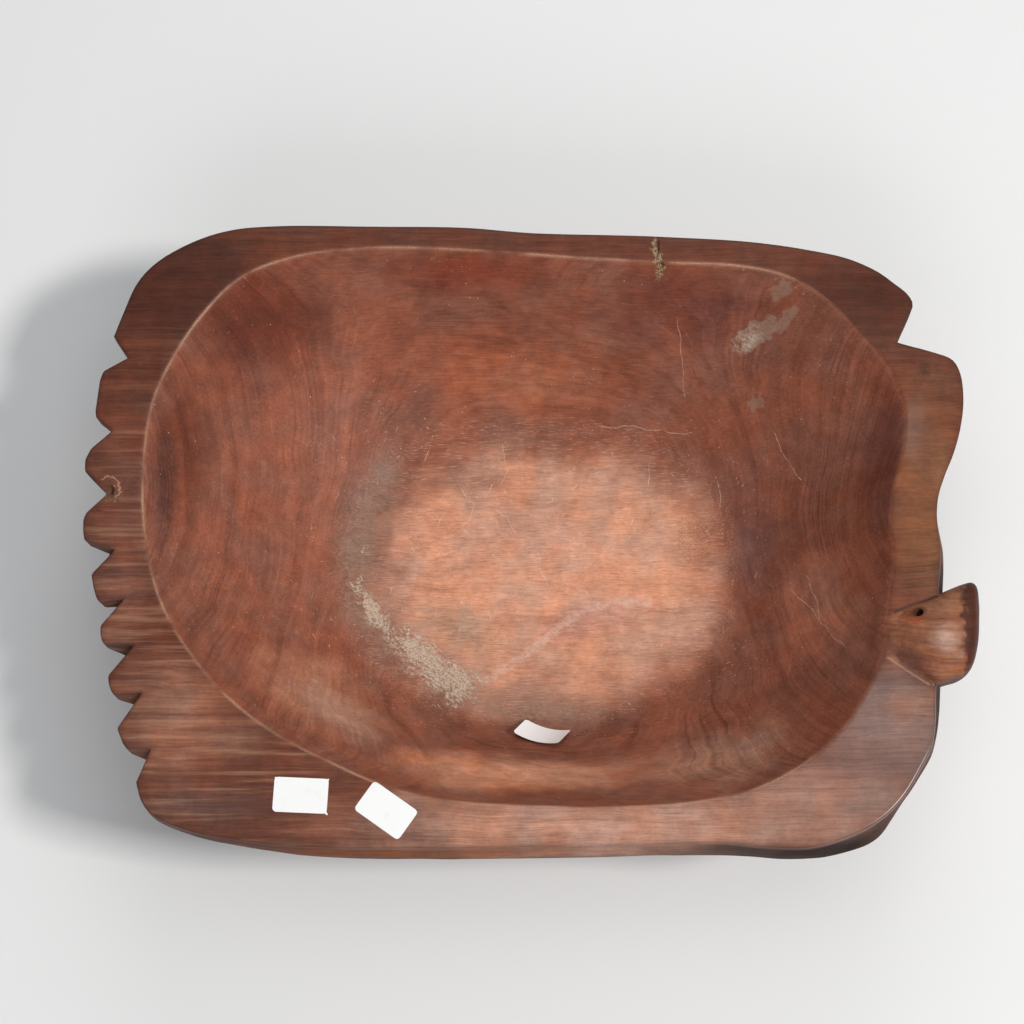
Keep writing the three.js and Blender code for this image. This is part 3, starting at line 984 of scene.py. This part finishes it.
@dataclass(frozen=True)
class LabelPaper:
    """Matt white label paper, a little handled."""

    clean: Colour = (0.88, 0.88, 0.87)
    handled: Colour = (0.70, 0.67, 0.61)

    def material(self, drawing: Drawing) -> Material:
        """Builds the paper.

        Args:
            drawing: Where the drawing lies.

        Returns:
            The material.
        """
        board = Board(bpy.data.materials.new("label_paper"))
        place = board.drawing_place(drawing)
        pulp = board.noise(place, 2.2, 4.0, 0.6)
        smudge = board.noise(place, 0.12, 2.0).ease(0.55, 0.8)
        colour = board.mix(smudge * 0.25 + pulp.ease(0.6, 0.8) * 0.1, self.clean, self.handled)
        return board.finish(Base_Color=colour, Roughness=0.62 + pulp * 0.15,
                            Normal=board.bump(0.25, pulp * 0.05))


@dataclass(frozen=True)
class StudioCard:
    """Plain pale card for the floor."""

    colour: Colour = (0.80, 0.80, 0.80)
    tooth: Colour = (0.7, 0.7, 0.7)

    def material(self) -> Material:
        """Builds the card.

        Returns:
            The material.
        """
        board = Board(bpy.data.materials.new("studio_card"))
        place = board.node("TexCoord", {}, {}, "Object")
        colour = board.mix(board.noise(place, 900.0, 2.0) * 0.04, self.colour, self.tooth)
        return board.finish(Base_Color=colour, Roughness=0.9)


# The carved bowl

BACK_EDGE = (
    (204, 94.3), (207, 100.8), (211.5, 110.4), (213.5, 116), (211, 121.8), (203.8, 128.3), (195.4, 135),
    (180, 142.5), (160, 147.3), (130, 152), (75, 155.5), (10, 157.5), (-25, 160.5), (-75, 161.2),
    (-125, 161.5), (-150, 159.3), (-170, 152.8), (-190, 140.5), (-200, 128.5), (-207, 110), (-211, 97.5),
)
NOTCH_ROOTS = (
    (-203, 85.5), (-209.5, 44.3), (-210, 10), (-204.2, -20), (-198.3, -46.3), (-192, -70.4),
    (-186.7, -95), (-180.8, -123.8),
)
NOTCH_FEET = (
    (-205, 89), (-212, 48), (-212.3, 13.5), (-208.9, -19.3), (-203.8, -47.4), (-197.7, -73.5),
    (-192.2, -99), (-184.6, -127.4),
)
TOOTH_EDGES = (
    ((-215.5, 78), (-217, 73), (-218.4, 56), (-218, 52.3)),
    ((-219.5, 35), (-222.2, 29), (-222, 22.5)),
    ((-220, 0), (-221.3, -4), (-221, -10), (-220, -15)),
    ((-215.5, -33), (-214, -40), (-212, -46), (-210, -48)),
    ((-209.3, -60), (-209, -65), (-207.5, -69.5)),
    ((-204, -86), (-203.5, -90), (-202, -94), (-200, -96.5)),
    ((-198, -113), (-196, -117.5), (-194.5, -121), (-192, -124)),
)
LOWER_EDGE = (
    (-187, -140.2), (-184, -149.5), (-178, -156.8), (-160, -164.3), (-140, -168.3), (-110, -171.8),
    (-50, -173), (50, -171.8), (105, -170.4), (125, -172.4), (145, -172.8), (160, -169.5), (180, -160.5),
    (193.4, -148.8), (205.2, -131), (209.9, -122), (212.2, -110), (213.2, -95), (216, -68), (217.8, -40),
    (219.6, -27), (220.2, -18), (219.3, -5), (220.6, 7.7), (224.6, 19.6), (230.4, 33), (235, 48), (237.1, 62),
    (236.3, 77), (232.6, 84.5), (223.8, 88.4), (210, 92.5), (204, 94.3),
)
CAVITY_EDGE = (
    (205.8, 58), (199, 79), (185, 98.7), (165, 120.8), (145, 132.6), (120, 138), (85, 139.7), (30, 143),
    (-25, 147.2), (-75, 148.3), (-115, 143.5), (-145, 131), (-165, 109), (-180, 83), (-188.5, 60),
    (-191.5, 25), (-188.5, -14), (-180, -45), (-166, -70), (-145, -95), (-120, -114.6), (-90, -130.4),
    (-60, -143), (-30, -149.4), (10, -152), (50, -152.5), (90, -150), (120, -143.6), (145, -131),
    (165, -114), (180, -92.3), (188.5, -72), (192.3, -46), (196.2, -23), (195.2, -5), (198, 15.4),
    (203, 31), (205.4, 46),
)
BELLY_EDGE = (
    (211, 0), (213, 45), (207, 85), (190, 118), (162, 139), (120, 148), (60, 154), (-60, 158.5),
    (-115, 157), (-150, 148), (-175, 127), (-190, 97), (-198, 58), (-200.5, 20), (-198, -20), (-191, -60),
    (-183, -95), (-175, -124), (-172, -149), (-158, -164), (-138, -169.3), (-115, -172.8),
    (-90, -175.2), (-45, -176), (0, -175.7), (91.5, -174.1), (115, -174.4), (140, -176.2), (162, -174),
    (183, -166), (195.5, -149.8), (206.8, -131.5), (215, -113), (218.3, -93), (220, -65), (219, -35),
)
SIDE_SWELL = (
    (0, 3), (5, 0.8), (10, 0), (60, 1.5), (100, 1.5), (140, 0), (180, -1), (212, 0), (222, 0.6), (232, 1.7),
    (239, 3), (316, 3), (322, 1.2), (328, 2.5), (331, 2.8), (336, 4.6), (352, 4.5), (360, 3),
)
LUG_PLAN = (
    (189, -66), (190.4, -56.5), (195.3, -52), (203.2, -48.4), (210.4, -46.1), (217, -43.3),
    (225, -39.8), (231, -37.5), (235.5, -36.7), (237.7, -38.8), (238.5, -48.2), (238, -57),
    (236.8, -68.3), (233.7, -79.6), (230.8, -84.2), (227, -86.9), (221.5, -88.6), (213.3, -90.4),
    (206.8, -88), (198.2, -83.2), (189.8, -78.6),
)
RAY_ORIGIN = (10.0, -8.0)


@dataclass
class CarvedBowl:
    """The bowl: cavity, rim, teeth, flange, hull, four legs and the cord lug, all one piece of wood."""

    drawing: Drawing
    finish: CarvedWood
    cavity_depth: float = 85.0
    floor_thickness: float = 16.0
    leg_height: float = 18.0
    flange_thickness: float = 12.0
    belly_depth: float = 20.0
    floor_half_length: float = 104.0
    floor_half_width: float = 82.0
    floor_dish: float = 2.0
    floor_power: float = 2.3
    floor_middle: Plan = (14.0, -8.0)
    base_margin: float = 9.0
    wall_power: float = 1.3
    hull_power: float = 1.4
    outer_round: float = 1.4
    lip_round: float = 1.8
    rim_crown: float = 0.45
    tooth_round: float = 1.0
    leg_inset: float = 28.0
    foot_radius: float = 13.0
    leg_top_radius: float = 17.0
    leg_overlap: float = 1.2
    lug_top: float = 8.0
    lug_waist: float = -7.0
    lug_bottom: float = -26.0
    lug_root_drop: float = 7.0
    lug_fullness: float = 2 / 3
    lug_peak: Plan = (221.0, -68.0)
    lug_root_x: float = 189.0
    hole_radius: float = 2.2
    hole_entry: Place = (206.6, -54.5, 3.0)
    hole_exit: Place = (225.0, -62.0, -25.0)
    hole_overlap: float = 8.0
    pits: tuple[tuple[Place, Place, float], ...] = (
        ((77.5, 146.0, 0.4), (1.5, 6.5, 1.8), -8.0),
        ((79.0, 138.6, -1.6), (2.8, 1.8, 2.6), 10.0),
        ((-208.2, 12.0, 0.6), (2.6, 3.2, 3.4), 20.0),
        ((-205.6, 6.8, 0.6), (2.0, 1.2, 1.6), -15.0),
        ((-185.0, 144.0, 0.3), (1.5, 0.8, 1.4), 30.0),
    )
    pit_roughness: float = 0.25
    valley_reach: float = 2.2
    valley_rounds: int = 5
    valley_end_x: float = 219.0
    valley_low_z: float = -3.5
    lug_field: tuple[Plan, Plan] = ((180.0, 240.0), (-98.0, -30.0))
    root_middle: Plan = (191.0, -65.0)
    root_reach: Plan = (8.0, 12.0)
    root_rounds: int = 22
    root_low_z: float = -16.0
    wave_size: float = 21.0
    fine_wave_size: float = 8.0
    wave_depth: float = 0.08
    cavity_wave_depth: float = 0.35
    fine_wave_depth: float = 0.06
    facet_depth: float = 0.9
    facet_size: Place = (26.0, 17.0, 17.0)
    still_feet_z: Plan = (-119.0, -112.0)
    edge_spacing: float = 2.8
    tooth_spacing: float = 1.7
    sharp_angle: float = 48.0

    @property
    def base_z(self) -> float:
        """Gives the height of the base that the legs grow out of."""
        return -self.cavity_depth - self.floor_thickness

    def pushed(self, points: Rows) -> Rows:
        """Gives the flange's lower edge under points of the rim's edge.

        Args:
            points: The points, in plan.

        Returns:
            A point under each, pushed out or in along its ray.
        """
        ray = points - np.array(RAY_ORIGIN)
        angle = np.degrees(np.arctan2(ray[:, 1], ray[:, 0])) % 360
        swell = np.interp(angle, *zip(*SIDE_SWELL))
        return points + ray / np.linalg.norm(ray, axis=1)[:, None] * swell[:, None]

    def tooth(self, start: Rows, corners: Rows, end: Rows) -> Rows:
        """Marks one tooth's edge with its corners rounded.

        Args:
            start: The notch before it, at the top and at the flange's lower edge.
            corners: The tooth's corners, likewise.
            end: The notch after it.

        Returns:
            The marks, without the last notch.
        """
        chain = [start]
        for i, corner in enumerate(corners):
            before = chain[-1] if i == 0 else corners[i - 1]
            after = corners[i + 1] if i + 1 < len(corners) else end
            ways = [other - corner for other in (before, after)]
            near = [corner + way * min(0.45, self.tooth_round / np.linalg.norm(way[:2])) for way in ways]
            chain += bent(near[0], corner, near[1], (0.0, 0.33, 0.67, 1.0))
        return even(np.array([*chain, end]), self.tooth_spacing)[:-1]

    def stations(self) -> Rows:
        """Marks the rim's edge all round.

        Returns:
            One row a mark: its place at the top, then at the flange's lower edge.
        """
        def both(line: Any) -> Rows:
            """Adds the lower edge to marks of the top."""
            return np.column_stack([line, self.pushed(np.array(line, float))])

        back = both(smooth_line(BACK_EDGE, self.edge_spacing))
        front = both(smooth_line(LOWER_EDGE, self.edge_spacing))
        roots = [back[-1], *np.column_stack([NOTCH_ROOTS, NOTCH_FEET]), front[0]]
        teeth = [(), *(both(corners) for corners in TOOTH_EDGES), ()]
        return np.vstack([back[:-1], *map(self.tooth, roots, teeth, roots[1:]), front[:-1]])

    def oblong(self, tops: Rows, margin: float) -> Rows:
        """Draws the floor's rounded oblong, or a grown one.

        Args:
            tops: The stations at the rim's top.
            margin: How much the oblong is grown.

        Returns:
            The oblong's point on the ray of each station.
        """
        angle = np.linspace(0, 2 * math.pi, 360, endpoint=False)
        circle = np.column_stack([np.cos(angle), np.sin(angle)])
        half = np.array([self.floor_half_length, self.floor_half_width]) + margin
        outline = half * np.sign(circle) * np.abs(circle) ** (2 / self.floor_power)
        return crossings(np.array(self.floor_middle) + outline, tops)

    def rings(self) -> list[Rows]:
        """Lays the rings of the bowl's skin, from the middle of the floor out over the rim and under it.

        Returns:
            The rings, in drawing millimetres.
        """
        marks = self.stations()
        tops, lows = marks[:, :2], marks[:, 2:]

        def at(plan: Rows, z: Any) -> Rows:
            """Puts plan points at a height."""
            return np.column_stack([plan, np.broadcast_to(z, len(plan))])

        inner = crossings(smooth_line(CAVITY_EDGE, 3.0, closed=True), tops)
        belly = crossings(smooth_line(BELLY_EDGE, 4.0, closed=True), tops)
        floor, base = self.oblong(tops, 0.0), self.oblong(tops, self.base_margin)
        middle = np.array(self.floor_middle)

        def wall(share: float) -> Rows:
            """Gives a ring on the cavity's wall."""
            return at(floor + (inner - floor) * share, -self.cavity_depth * (1 - share ** self.wall_power))

        # The cavity, and its lip
        rings = [at(middle + (floor - middle) * share,
                    -self.cavity_depth - self.floor_dish * (1 - share ** 2))
                 for share in np.linspace(0, 1, 27)[1:]]
        rings += [wall(share) for share in np.linspace(0, 0.975, 45)[1:]]
        outward = (tops - inner) / np.linalg.norm(tops - inner, axis=1)[:, None]
        lip = inner + outward * self.lip_round
        rings += bent(wall(0.983), at(inner, 0.0), at(lip, 0.0), (0.0, 0.25, 0.5, 0.75, 1.0))

        # The rim's top, and its outer edge
        tangent = np.roll(tops, -1, axis=0) - np.roll(tops, 1, axis=0)
        tangent /= np.linalg.norm(tangent, axis=1)[:, None]
        inset = tops + np.column_stack([-tangent[:, 1], tangent[:, 0]]) * self.outer_round
        rings += [at(lip + (inset - lip) * share, -self.rim_crown * max(0.0, 2 * share - 1) ** 3)
                  for share in np.linspace(0, 1, 15)[1:]]
        side_top = at(tops, -self.rim_crown - self.outer_round)
        rings += bent(rings[-1], at(tops, -self.rim_crown), side_top, (0.25, 0.5, 0.75, 1.0))

        # The flange's side and its underside
        edge, under = at(lows, -self.flange_thickness), at(belly, -self.belly_depth)
        rings += [side_top + (edge - side_top) * share for share in (0.3, 0.6)]
        width = np.maximum(np.linalg.norm(under - edge, axis=1), 0.1)
        tuck = edge + (under - edge) * np.minimum(0.4, 1.5 / width)[:, None]
        rings += bent(side_top + (edge - side_top) * 0.88, edge, tuck, (0.0, 0.35, 0.7, 1.0))
        rings += [tuck + (under - tuck) * share for share in (0.25, 0.5, 0.75)]

        # The hull and the base
        rings += [at(base + (belly - base) * (1 - (1 - rise) ** self.hull_power),
                     self.base_z + (-self.belly_depth - self.base_z) * rise)
                  for rise in np.linspace(1, 0, 29)]
        rings += [at(middle + (base - middle) * share, self.base_z)
                  for share in (0.97, 0.85, 0.65, 0.4, 0.15)]
        return rings

    def shell(self) -> Object:
        """Makes the bowl without its lug and legs.

        Returns:
            The shell.
        """
        floor_z = -self.cavity_depth - self.floor_dish
        return as_object("carved_bowl", ringed_skin(
            self.drawing, self.rings(), (*self.floor_middle, floor_z), (*self.floor_middle, self.base_z)))

    def lug(self) -> Object:
        """Makes the cord lug, a dome that sinks towards the cavity, with a rounded underside.

        Returns:
            The lug.
        """
        plan, peak = smooth_line(LUG_PLAN, 1.7, closed=True), np.array(self.lug_peak)

        def crest(x: Rows) -> Rows:
            """Gives the height of the lug's ridge."""
            share = np.clip((peak[0] - x) / (peak[0] - self.lug_root_x), 0, 1)
            return self.lug_top - self.lug_root_drop * share ** 1.5

        def ring(turn: float, end: Callable[[Rows], Rows]) -> Rows:
            """Gives one ring, a shrunken plan between the waist and an end.

            Args:
                turn: The turn: none at the end's pole and a quarter at the waist.
                end: Gives the end's height along the lug.

            Returns:
                The ring.
            """
            points = peak + (plan - peak) * math.sin(turn) ** self.lug_fullness
            dome = max(0.0, math.cos(turn)) ** self.lug_fullness
            return np.column_stack([points, self.lug_waist + (end(points[:, 0]) - self.lug_waist) * dome])

        rings = [ring(turn, crest) for turn in np.linspace(0, math.pi / 2, 26)[1:]]
        rings += [ring(turn, lambda x: np.full(len(x), self.lug_bottom))
                  for turn in np.linspace(math.pi / 2, 0, 16)[1:-1]]
        return as_object("lug", ringed_skin(
            self.drawing, rings, (*self.lug_peak, self.lug_top), (*self.lug_peak, self.lug_bottom)))

    def leg(self, x: float, y: float) -> Object:
        """Turns one short leg that flares into the base.

        Args:
            x: The foot's middle along the drawing.
            y: The foot's middle across it.

        Returns:
            The leg.
        """
        foot_z, foot = self.base_z - self.leg_height, self.foot_radius
        outline = [(0.0, 0.0), (foot - 3, 0.0), (foot - 0.9, 0.25), (foot - 0.1, 1.2), (foot, 2.5)]
        for share in (0.25, 0.5, 0.7, 0.85, 1.0, self.leg_overlap):
            spread = (self.leg_top_radius - foot) * share ** 2 * 1.2
            outline.append((foot + spread, self.leg_height * share))
        outline.append((0.0, self.leg_height * self.leg_overlap))
        shape = bmesh.new()
        line = [shape.verts.new(self.drawing.point(x + r, y, foot_z + z)) for r, z in outline]
        for pair in zip(line, line[1:]):
            shape.edges.new(pair)
        bmesh.ops.spin(shape, geom=[*shape.verts, *shape.edges], cent=self.drawing.point(x, y), axis=UP,
                       angle=2 * math.pi, steps=40, use_merge=True)
        bmesh.ops.remove_doubles(shape, verts=shape.verts, dist=0.01 * MM)
        bmesh.ops.recalc_face_normals(shape, faces=shape.faces)
        return as_object("leg", shape)

    def cord_hole(self) -> Object:
        """Makes the round bar that drills the cord hole.

        Returns:
            The bar.
        """
        start, end = Vector(self.hole_entry), Vector(self.hole_exit)
        axis = end - start
        bar = bmesh.new()
        bmesh.ops.create_cone(
            bar, cap_ends=True, segments=28, radius1=self.hole_radius * MM, radius2=self.hole_radius * MM,
            depth=(axis.length + 2 * self.hole_overlap) * MM)
        turn = UP.rotation_difference(axis).to_matrix().to_4x4()
        place = Matrix.Translation(self.drawing.point(*((start + end) / 2)))
        bmesh.ops.transform(bar, matrix=place @ turn, verts=bar.verts)
        return as_object("cord_hole", bar)

    def gouge(self, middle: Place, reach: Place, turn: float) -> Object:
        """Makes a rough rounded lump that eats a pit out of the wood.

        Args:
            middle: The lump's middle.
            reach: Its half sizes.
            turn: Its turn in plan, in degrees.

        Returns:
            The lump.
        """
        lump = bmesh.new()
        bmesh.ops.create_icosphere(lump, subdivisions=4, radius=1.0)
        for corner in lump.verts:
            corner.co *= 1 + self.pit_roughness * noise.noise(corner.co * 2.3 + Vector(middle))
        spin = Matrix.Rotation(math.radians(turn), 4, "Z")
        size = Matrix.Diagonal((*(r * MM for r in reach), 1.0))
        place = Matrix.Translation(self.drawing.point(*middle))
        bmesh.ops.transform(lump, matrix=place @ spin @ size, verts=lump.verts)
        return as_object("gouge", lump)

    def soften(self, body: Object) -> None:
        """Rounds the valley where the lug grows out of the rim, and the lug's root.

        Args:
            body: The bowl with its lug.
        """
        shape = bmesh.new()
        shape.from_mesh(body.data)
        bmesh.ops.remove_doubles(shape, verts=shape.verts, dist=0.02 * MM)
        origin = Vector(self.drawing.origin)
        (left, right), (front, back) = self.lug_field
        near = [(v, (v.co - origin) / MM) for v in shape.verts]
        near = [(v, spot) for v, spot in near if left < spot.x < right and front < spot.y < back]
        plan = np.array([spot.xy for _, spot in near])
        gaps = np.abs(distance_to(smooth_line(LUG_PLAN, 2.0, closed=True), plan))
        roots = np.linalg.norm((plan - np.array(self.root_middle)) / np.array(self.root_reach), axis=1)
        valley = [v for (v, spot), gap in zip(near, gaps) if gap < self.valley_reach
                  and spot.x < self.valley_end_x and spot.z > self.valley_low_z]
        relax(shape, valley, self.valley_rounds)
        root = [v for (v, spot), reach in zip(near, roots) if reach < 1 and spot.z > self.root_low_z]
        relax(shape, root, self.root_rounds)
        shape.to_mesh(body.data)
        shape.free()

    def tool(self, body: Object) -> None:
        """Leaves the faint hollows of the blade all over, and deeper ones on the hull.

        Args:
            body: The bowl.
        """
        mesh = body.data
        places, normals = self.drawing.places(mesh), corner_rows(mesh, "normal")
        inner_gap = distance_to(smooth_line(CAVITY_EDGE, 4.0, closed=True), places[:, :2])
        cavity = ramp(-inner_gap, 0.5, 8.0) * ramp(normals[:, 2], 0.0, 0.2)
        hull = ramp(-places[:, 2], 12.0, 24.0) * ramp(-normals[:, 2], -0.2, 0.1)
        above_feet = ramp(places[:, 2], *self.still_feet_z)
        depth = np.zeros(len(places))
        for i, place in enumerate(places):
            spot = Vector(place)
            broad = 0.5 + 0.5 * noise.noise(spot / self.wave_size)
            fine = 0.5 + 0.5 * noise.noise(spot / self.fine_wave_size)
            facets = min(1.0, noise.voronoi(Vector(place / np.array(self.facet_size)))[0][0])
            depth[i] = ((self.wave_depth + self.cavity_wave_depth * cavity[i]) * broad
                        + self.fine_wave_depth * fine + self.facet_depth * hull[i] * (1 - facets))
        moved = places - normals * (depth * above_feet)[:, None]
        mesh.vertices.foreach_set("co", (moved * MM + np.array(self.drawing.origin)).ravel())
        mesh.update()

    def mark(self, body: Object) -> None:
        """Stores where the cavity, the cavity's lip (worn, with a painted highlight), the rim's outer edge
        (painted shade), the lug and the underside (painted shade) are, for the finish.

        Args:
            body: The bowl.
        """
        mesh = body.data
        places = self.drawing.places(mesh)
        plan, z = places[:, :2], places[:, 2]
        inner = distance_to(smooth_line(CAVITY_EDGE, 2.5, closed=True), plan)
        outer = distance_to(self.stations()[:, :2], plan)
        lug = distance_to(smooth_line(LUG_PLAN, 2.0, closed=True), plan)
        facing_up = ramp(corner_rows(mesh, "normal")[:, 2], -0.1, 0.2)
        rim_top, off_lug = ramp(z, -6.0, -1.0), ramp(lug, -1.0, 0.5)
        add_mask(mesh, "cavity", facing_up * ramp(-inner, -0.6, 0.8))
        # The lip's pale line is partly wear and partly painted highlight; the rim's outer edge takes painted
        # shade
        add_mask(mesh, "lip", facing_up * np.exp(-((inner - 0.05) / 0.6) ** 2))
        add_mask(mesh, "rim_edge_shade", ramp(outer, -2.4, -0.4) * rim_top * off_lug)
        add_mask(mesh, "lug", ramp(-lug, -0.5, 2.0) * rim_top)
        add_mask(mesh, "under", ramp(inner, 1.0, 3.0) * ramp(-z, 1.4, 3.6) * off_lug)

    def build(self) -> Object:
        """Carves the bowl and dresses it.

        Returns:
            The finished bowl.
        """
        body = self.shell()
        carve(body, self.lug(), Cut.JOIN)
        off_x, off_y = self.floor_half_length - self.leg_inset, self.floor_half_width - self.leg_inset
        for x in (-off_x, off_x):
            for y in (-off_y, off_y):
                carve(body, self.leg(self.floor_middle[0] + x, self.floor_middle[1] + y), Cut.JOIN)
        for pit in self.pits:
            carve(body, self.gouge(*pit), Cut.TAKE)
        self.soften(body)
        carve(body, self.cord_hole(), Cut.TAKE)
        self.tool(body)
        self.mark(body)
        dress(body, self.finish.material(self.drawing), self.sharp_angle, "bowl")
        return body


# The paper labels


@dataclass
class PaperLabel:
    """A bare paper label, pressed on the wood or curled up at both ends."""

    drawing: Drawing
    node: str
    middle: Plan
    turn: float
    curl_radius: float = 0.0
    lean: float = 0.0
    length: float = 27.0
    width: float = 17.4
    corner: float = 2.0
    thickness: float = 0.12
    gap: float = 0.06
    clearance: float = 20.0
    sharp_angle: float = 40.0

    def sheet(self) -> BMesh:
        """Cuts the flat sheet with its rounded corners, and curls it, in millimetres.

        Returns:
            The sheet.
        """
        sheet = bmesh.new()
        bmesh.ops.create_grid(sheet, x_segments=54, y_segments=34, size=0.5)
        bmesh.ops.scale(sheet, vec=(self.length, self.width, 1.0), verts=sheet.verts)
        reach = (self.length / 2 - self.corner, self.width / 2 - self.corner)
        for spot in sheet.verts:
            off = Vector((abs(spot.co.x) - reach[0], abs(spot.co.y) - reach[1]))
            if off.x > 0 and off.y > 0 and off.length > self.corner:
                off *= self.corner / off.length
                spot.co.x = math.copysign(reach[0] + off.x, spot.co.x)
                spot.co.y = math.copysign(reach[1] + off.y, spot.co.y)
            if self.curl_radius:
                angle = spot.co.x / self.curl_radius
                spot.co.x = math.sin(angle) * self.curl_radius
                spot.co.z = (1 - math.cos(angle)) * self.curl_radius
        return sheet

    def press(self, sheet: BMesh, surface: BVHTree, normal: Vector) -> None:
        """Brings the sheet down on the wood: a curled one until it touches, a flat one all over.

        Args:
            sheet: The sheet in its place.
            surface: The wood.
            normal: The way that the sheet faces.
        """
        lift = self.clearance * MM
        if self.curl_radius:
            clear = min((surface.ray_cast(v.co + normal * lift, -normal)[3] or 1.0) - lift
                        for v in sheet.verts)
            bmesh.ops.translate(sheet, vec=normal * (self.gap * MM - clear), verts=sheet.verts)
            return
        for vert in sheet.verts:
            vert.co.z = surface.ray_cast(vert.co + UP * lift, -UP)[0].z + self.gap * MM

    def build(self, wood: Object, finish: Material) -> Object:
        """Lays the label on the wood.

        Args:
            wood: The bowl.
            finish: The paper.

        Returns:
            The finished label.
        """
        sheet = self.sheet()
        surface = BVHTree.FromObject(wood, bpy.context.evaluated_depsgraph_get())
        spot, normal, _, _ = surface.ray_cast(self.drawing.point(*self.middle, self.clearance), -UP)
        if not self.curl_radius:
            normal = UP
        along = Matrix.Rotation(math.radians(self.turn), 3, "Z") @ Vector((1, 0, 0))
        along = (along - normal * along.dot(normal)).normalized()
        normal = Matrix.Rotation(math.radians(-self.lean), 3, along) @ normal
        basis = Matrix((along, normal.cross(along), normal)).transposed().to_4x4()
        bmesh.ops.transform(
            sheet, matrix=Matrix.Translation(spot) @ basis @ Matrix.Scale(MM, 4), verts=sheet.verts)
        self.press(sheet, surface, normal)
        bmesh.ops.recalc_face_normals(sheet, faces=sheet.faces)
        if sum(face.normal.dot(normal) for face in sheet.faces) < 0:
            bmesh.ops.reverse_faces(sheet, faces=sheet.faces)
        bmesh.ops.solidify(sheet, geom=sheet.faces, thickness=-self.thickness * MM)
        bmesh.ops.recalc_face_normals(sheet, faces=sheet.faces)
        label = as_object(f"{self.node}_paper", sheet)
        dress(label, finish, self.sharp_angle, self.node)
        return label


# The studio


@dataclass(frozen=True)
class Lamp:
    """An oblong lamp: the direction to it, its distance and its two sides in metres, and its watts."""

    name: str
    towards: Place
    distance: float
    size: Plan
    power: float
    colour: Colour = (1.0, 1.0, 1.0)

    def hang(self, target: Vector) -> None:
        """Hangs the lamp so that it looks at a place.

        Args:
            target: The place.
        """
        light = bpy.data.lights.new(self.name, "AREA")
        light.shape = "RECTANGLE"
        light.size, light.size_y = self.size
        light.energy = self.power
        light.color = self.colour
        lamp = bpy.data.objects.new(self.name, light)
        way = Vector(self.towards).normalized()
        lamp.location = target + way * self.distance
        lamp.rotation_euler = way.to_track_quat("Z", "Y").to_euler()
        bpy.context.scene.collection.objects.link(lamp)


LAMPS = (
    Lamp("key_lamp", (0.70, -0.22, 1.0), 3.2, (0.55, 0.4), 63.0, (1.0, 0.98, 0.95)),
    Lamp("front_fill", (-0.1, -1.0, 0.95), 2.2, (1.2, 0.8), 11.0),
    Lamp("back_fill", (0.1, 1.0, 0.9), 2.2, (1.2, 0.8), 9.0),
    Lamp("top_lamp", (0.1, 0.12, 1.0), 1.9, (1.1, 1.1), 5.0),
)


@dataclass
class Studio:
    """A pale floor, soft lamps and the camera."""

    drawing: Drawing
    lamps: tuple[Lamp, ...] = LAMPS
    lit_place: Place = (0.0, 0.0, -40.0)
    target: Place = (0.0, 0.0, 0.0)
    eye: Place = (0.0, -321.6, 1051.9)
    field_of_view: float = 27.0
    sensor: float = 36.0
    floor_half: float = 5.0
    air: Colour = (0.9, 0.95, 1.0)
    air_strength: float = 0.22
    backdrop: Colour = (0.9, 0.9, 0.9)

    def floor(self) -> None:
        """Lays the floor."""
        sheet = bmesh.new()
        bmesh.ops.create_grid(sheet, x_segments=4, y_segments=4, size=self.floor_half)
        floor = as_object("studio_floor", sheet)
        floor.data.materials.append(StudioCard().material())

    def world(self) -> None:
        """Sets the air's light: soft on the bowl, pale behind it."""
        world = bpy.data.worlds.new("studio_air")
        board = Board(world)
        camera, through = (board.node("LightPath", {}, {}, f"Is {kind} Ray")
                           for kind in ("Camera", "Transmission"))
        lit = board.node("Background", {}, {"Color": self.air, "Strength": self.air_strength})
        shown = board.node("Background", {}, {"Color": self.backdrop})
        board.end("OutputWorld",
                  board.node("MixShader", {}, {0: camera.most(through), 1: lit, 2: shown}))
        bpy.context.scene.world = world

    def camera(self) -> None:
        """Sets the camera where the photograph was taken from."""
        lens = bpy.data.cameras.new("camera")
        lens.sensor_fit = "HORIZONTAL"
        lens.sensor_width = self.sensor
        lens.lens = self.sensor / 2 / math.tan(math.radians(self.field_of_view / 2))
        lens.clip_end = 50.0
        camera = bpy.data.objects.new("camera", lens)
        camera.location = self.drawing.point(*self.eye)
        look = self.drawing.point(*self.target) - camera.location
        camera.rotation_euler = look.to_track_quat("-Z", "Y").to_euler()
        bpy.context.scene.collection.objects.link(camera)
        bpy.context.scene.camera = camera

    def build(self) -> None:
        """Sets the whole studio up."""
        self.floor()
        self.world()
        self.camera()
        for lamp in self.lamps:
            lamp.hang(self.drawing.point(*self.lit_place))
        bpy.context.scene.view_settings.view_transform = "Standard"


def main() -> None:
    """Builds the dressed bowl in order."""
    logging.basicConfig(level=logging.INFO, format="%(message)s")
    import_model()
    left, right, inner = (-104.8, -146.8), (-62.3, -154.3), (15.9, -103.2)
    drawing = Drawing.from_label("rim_label_left", left)
    bowl = CarvedBowl(drawing, CarvedWood()).build()
    LOG.info("bowl: %d faces", len(bowl.data.polygons))
    paper = LabelPaper().material(drawing)
    # Painted light: a brighter copy of the paper for the inside label, making up for the shade on the wall
    # where it sits
    fresh = LabelPaper(clean=(0.97, 0.97, 0.96), handled=(0.86, 0.84, 0.80)).material(drawing)
    for label, finish in (
        (PaperLabel(drawing, "rim_label_left", left, -2.5), paper),
        (PaperLabel(drawing, "rim_label_right", right, -35.0), paper),
        (PaperLabel(drawing, "inner_label", inner, -34.0, curl_radius=36.0, lean=5.0), fresh),
    ):
        made = label.build(bowl, finish)
        LOG.info("%s: %d faces", made.name, len(made.data.polygons))
    Studio(drawing).build()


if __name__ == "__main__":
    main()
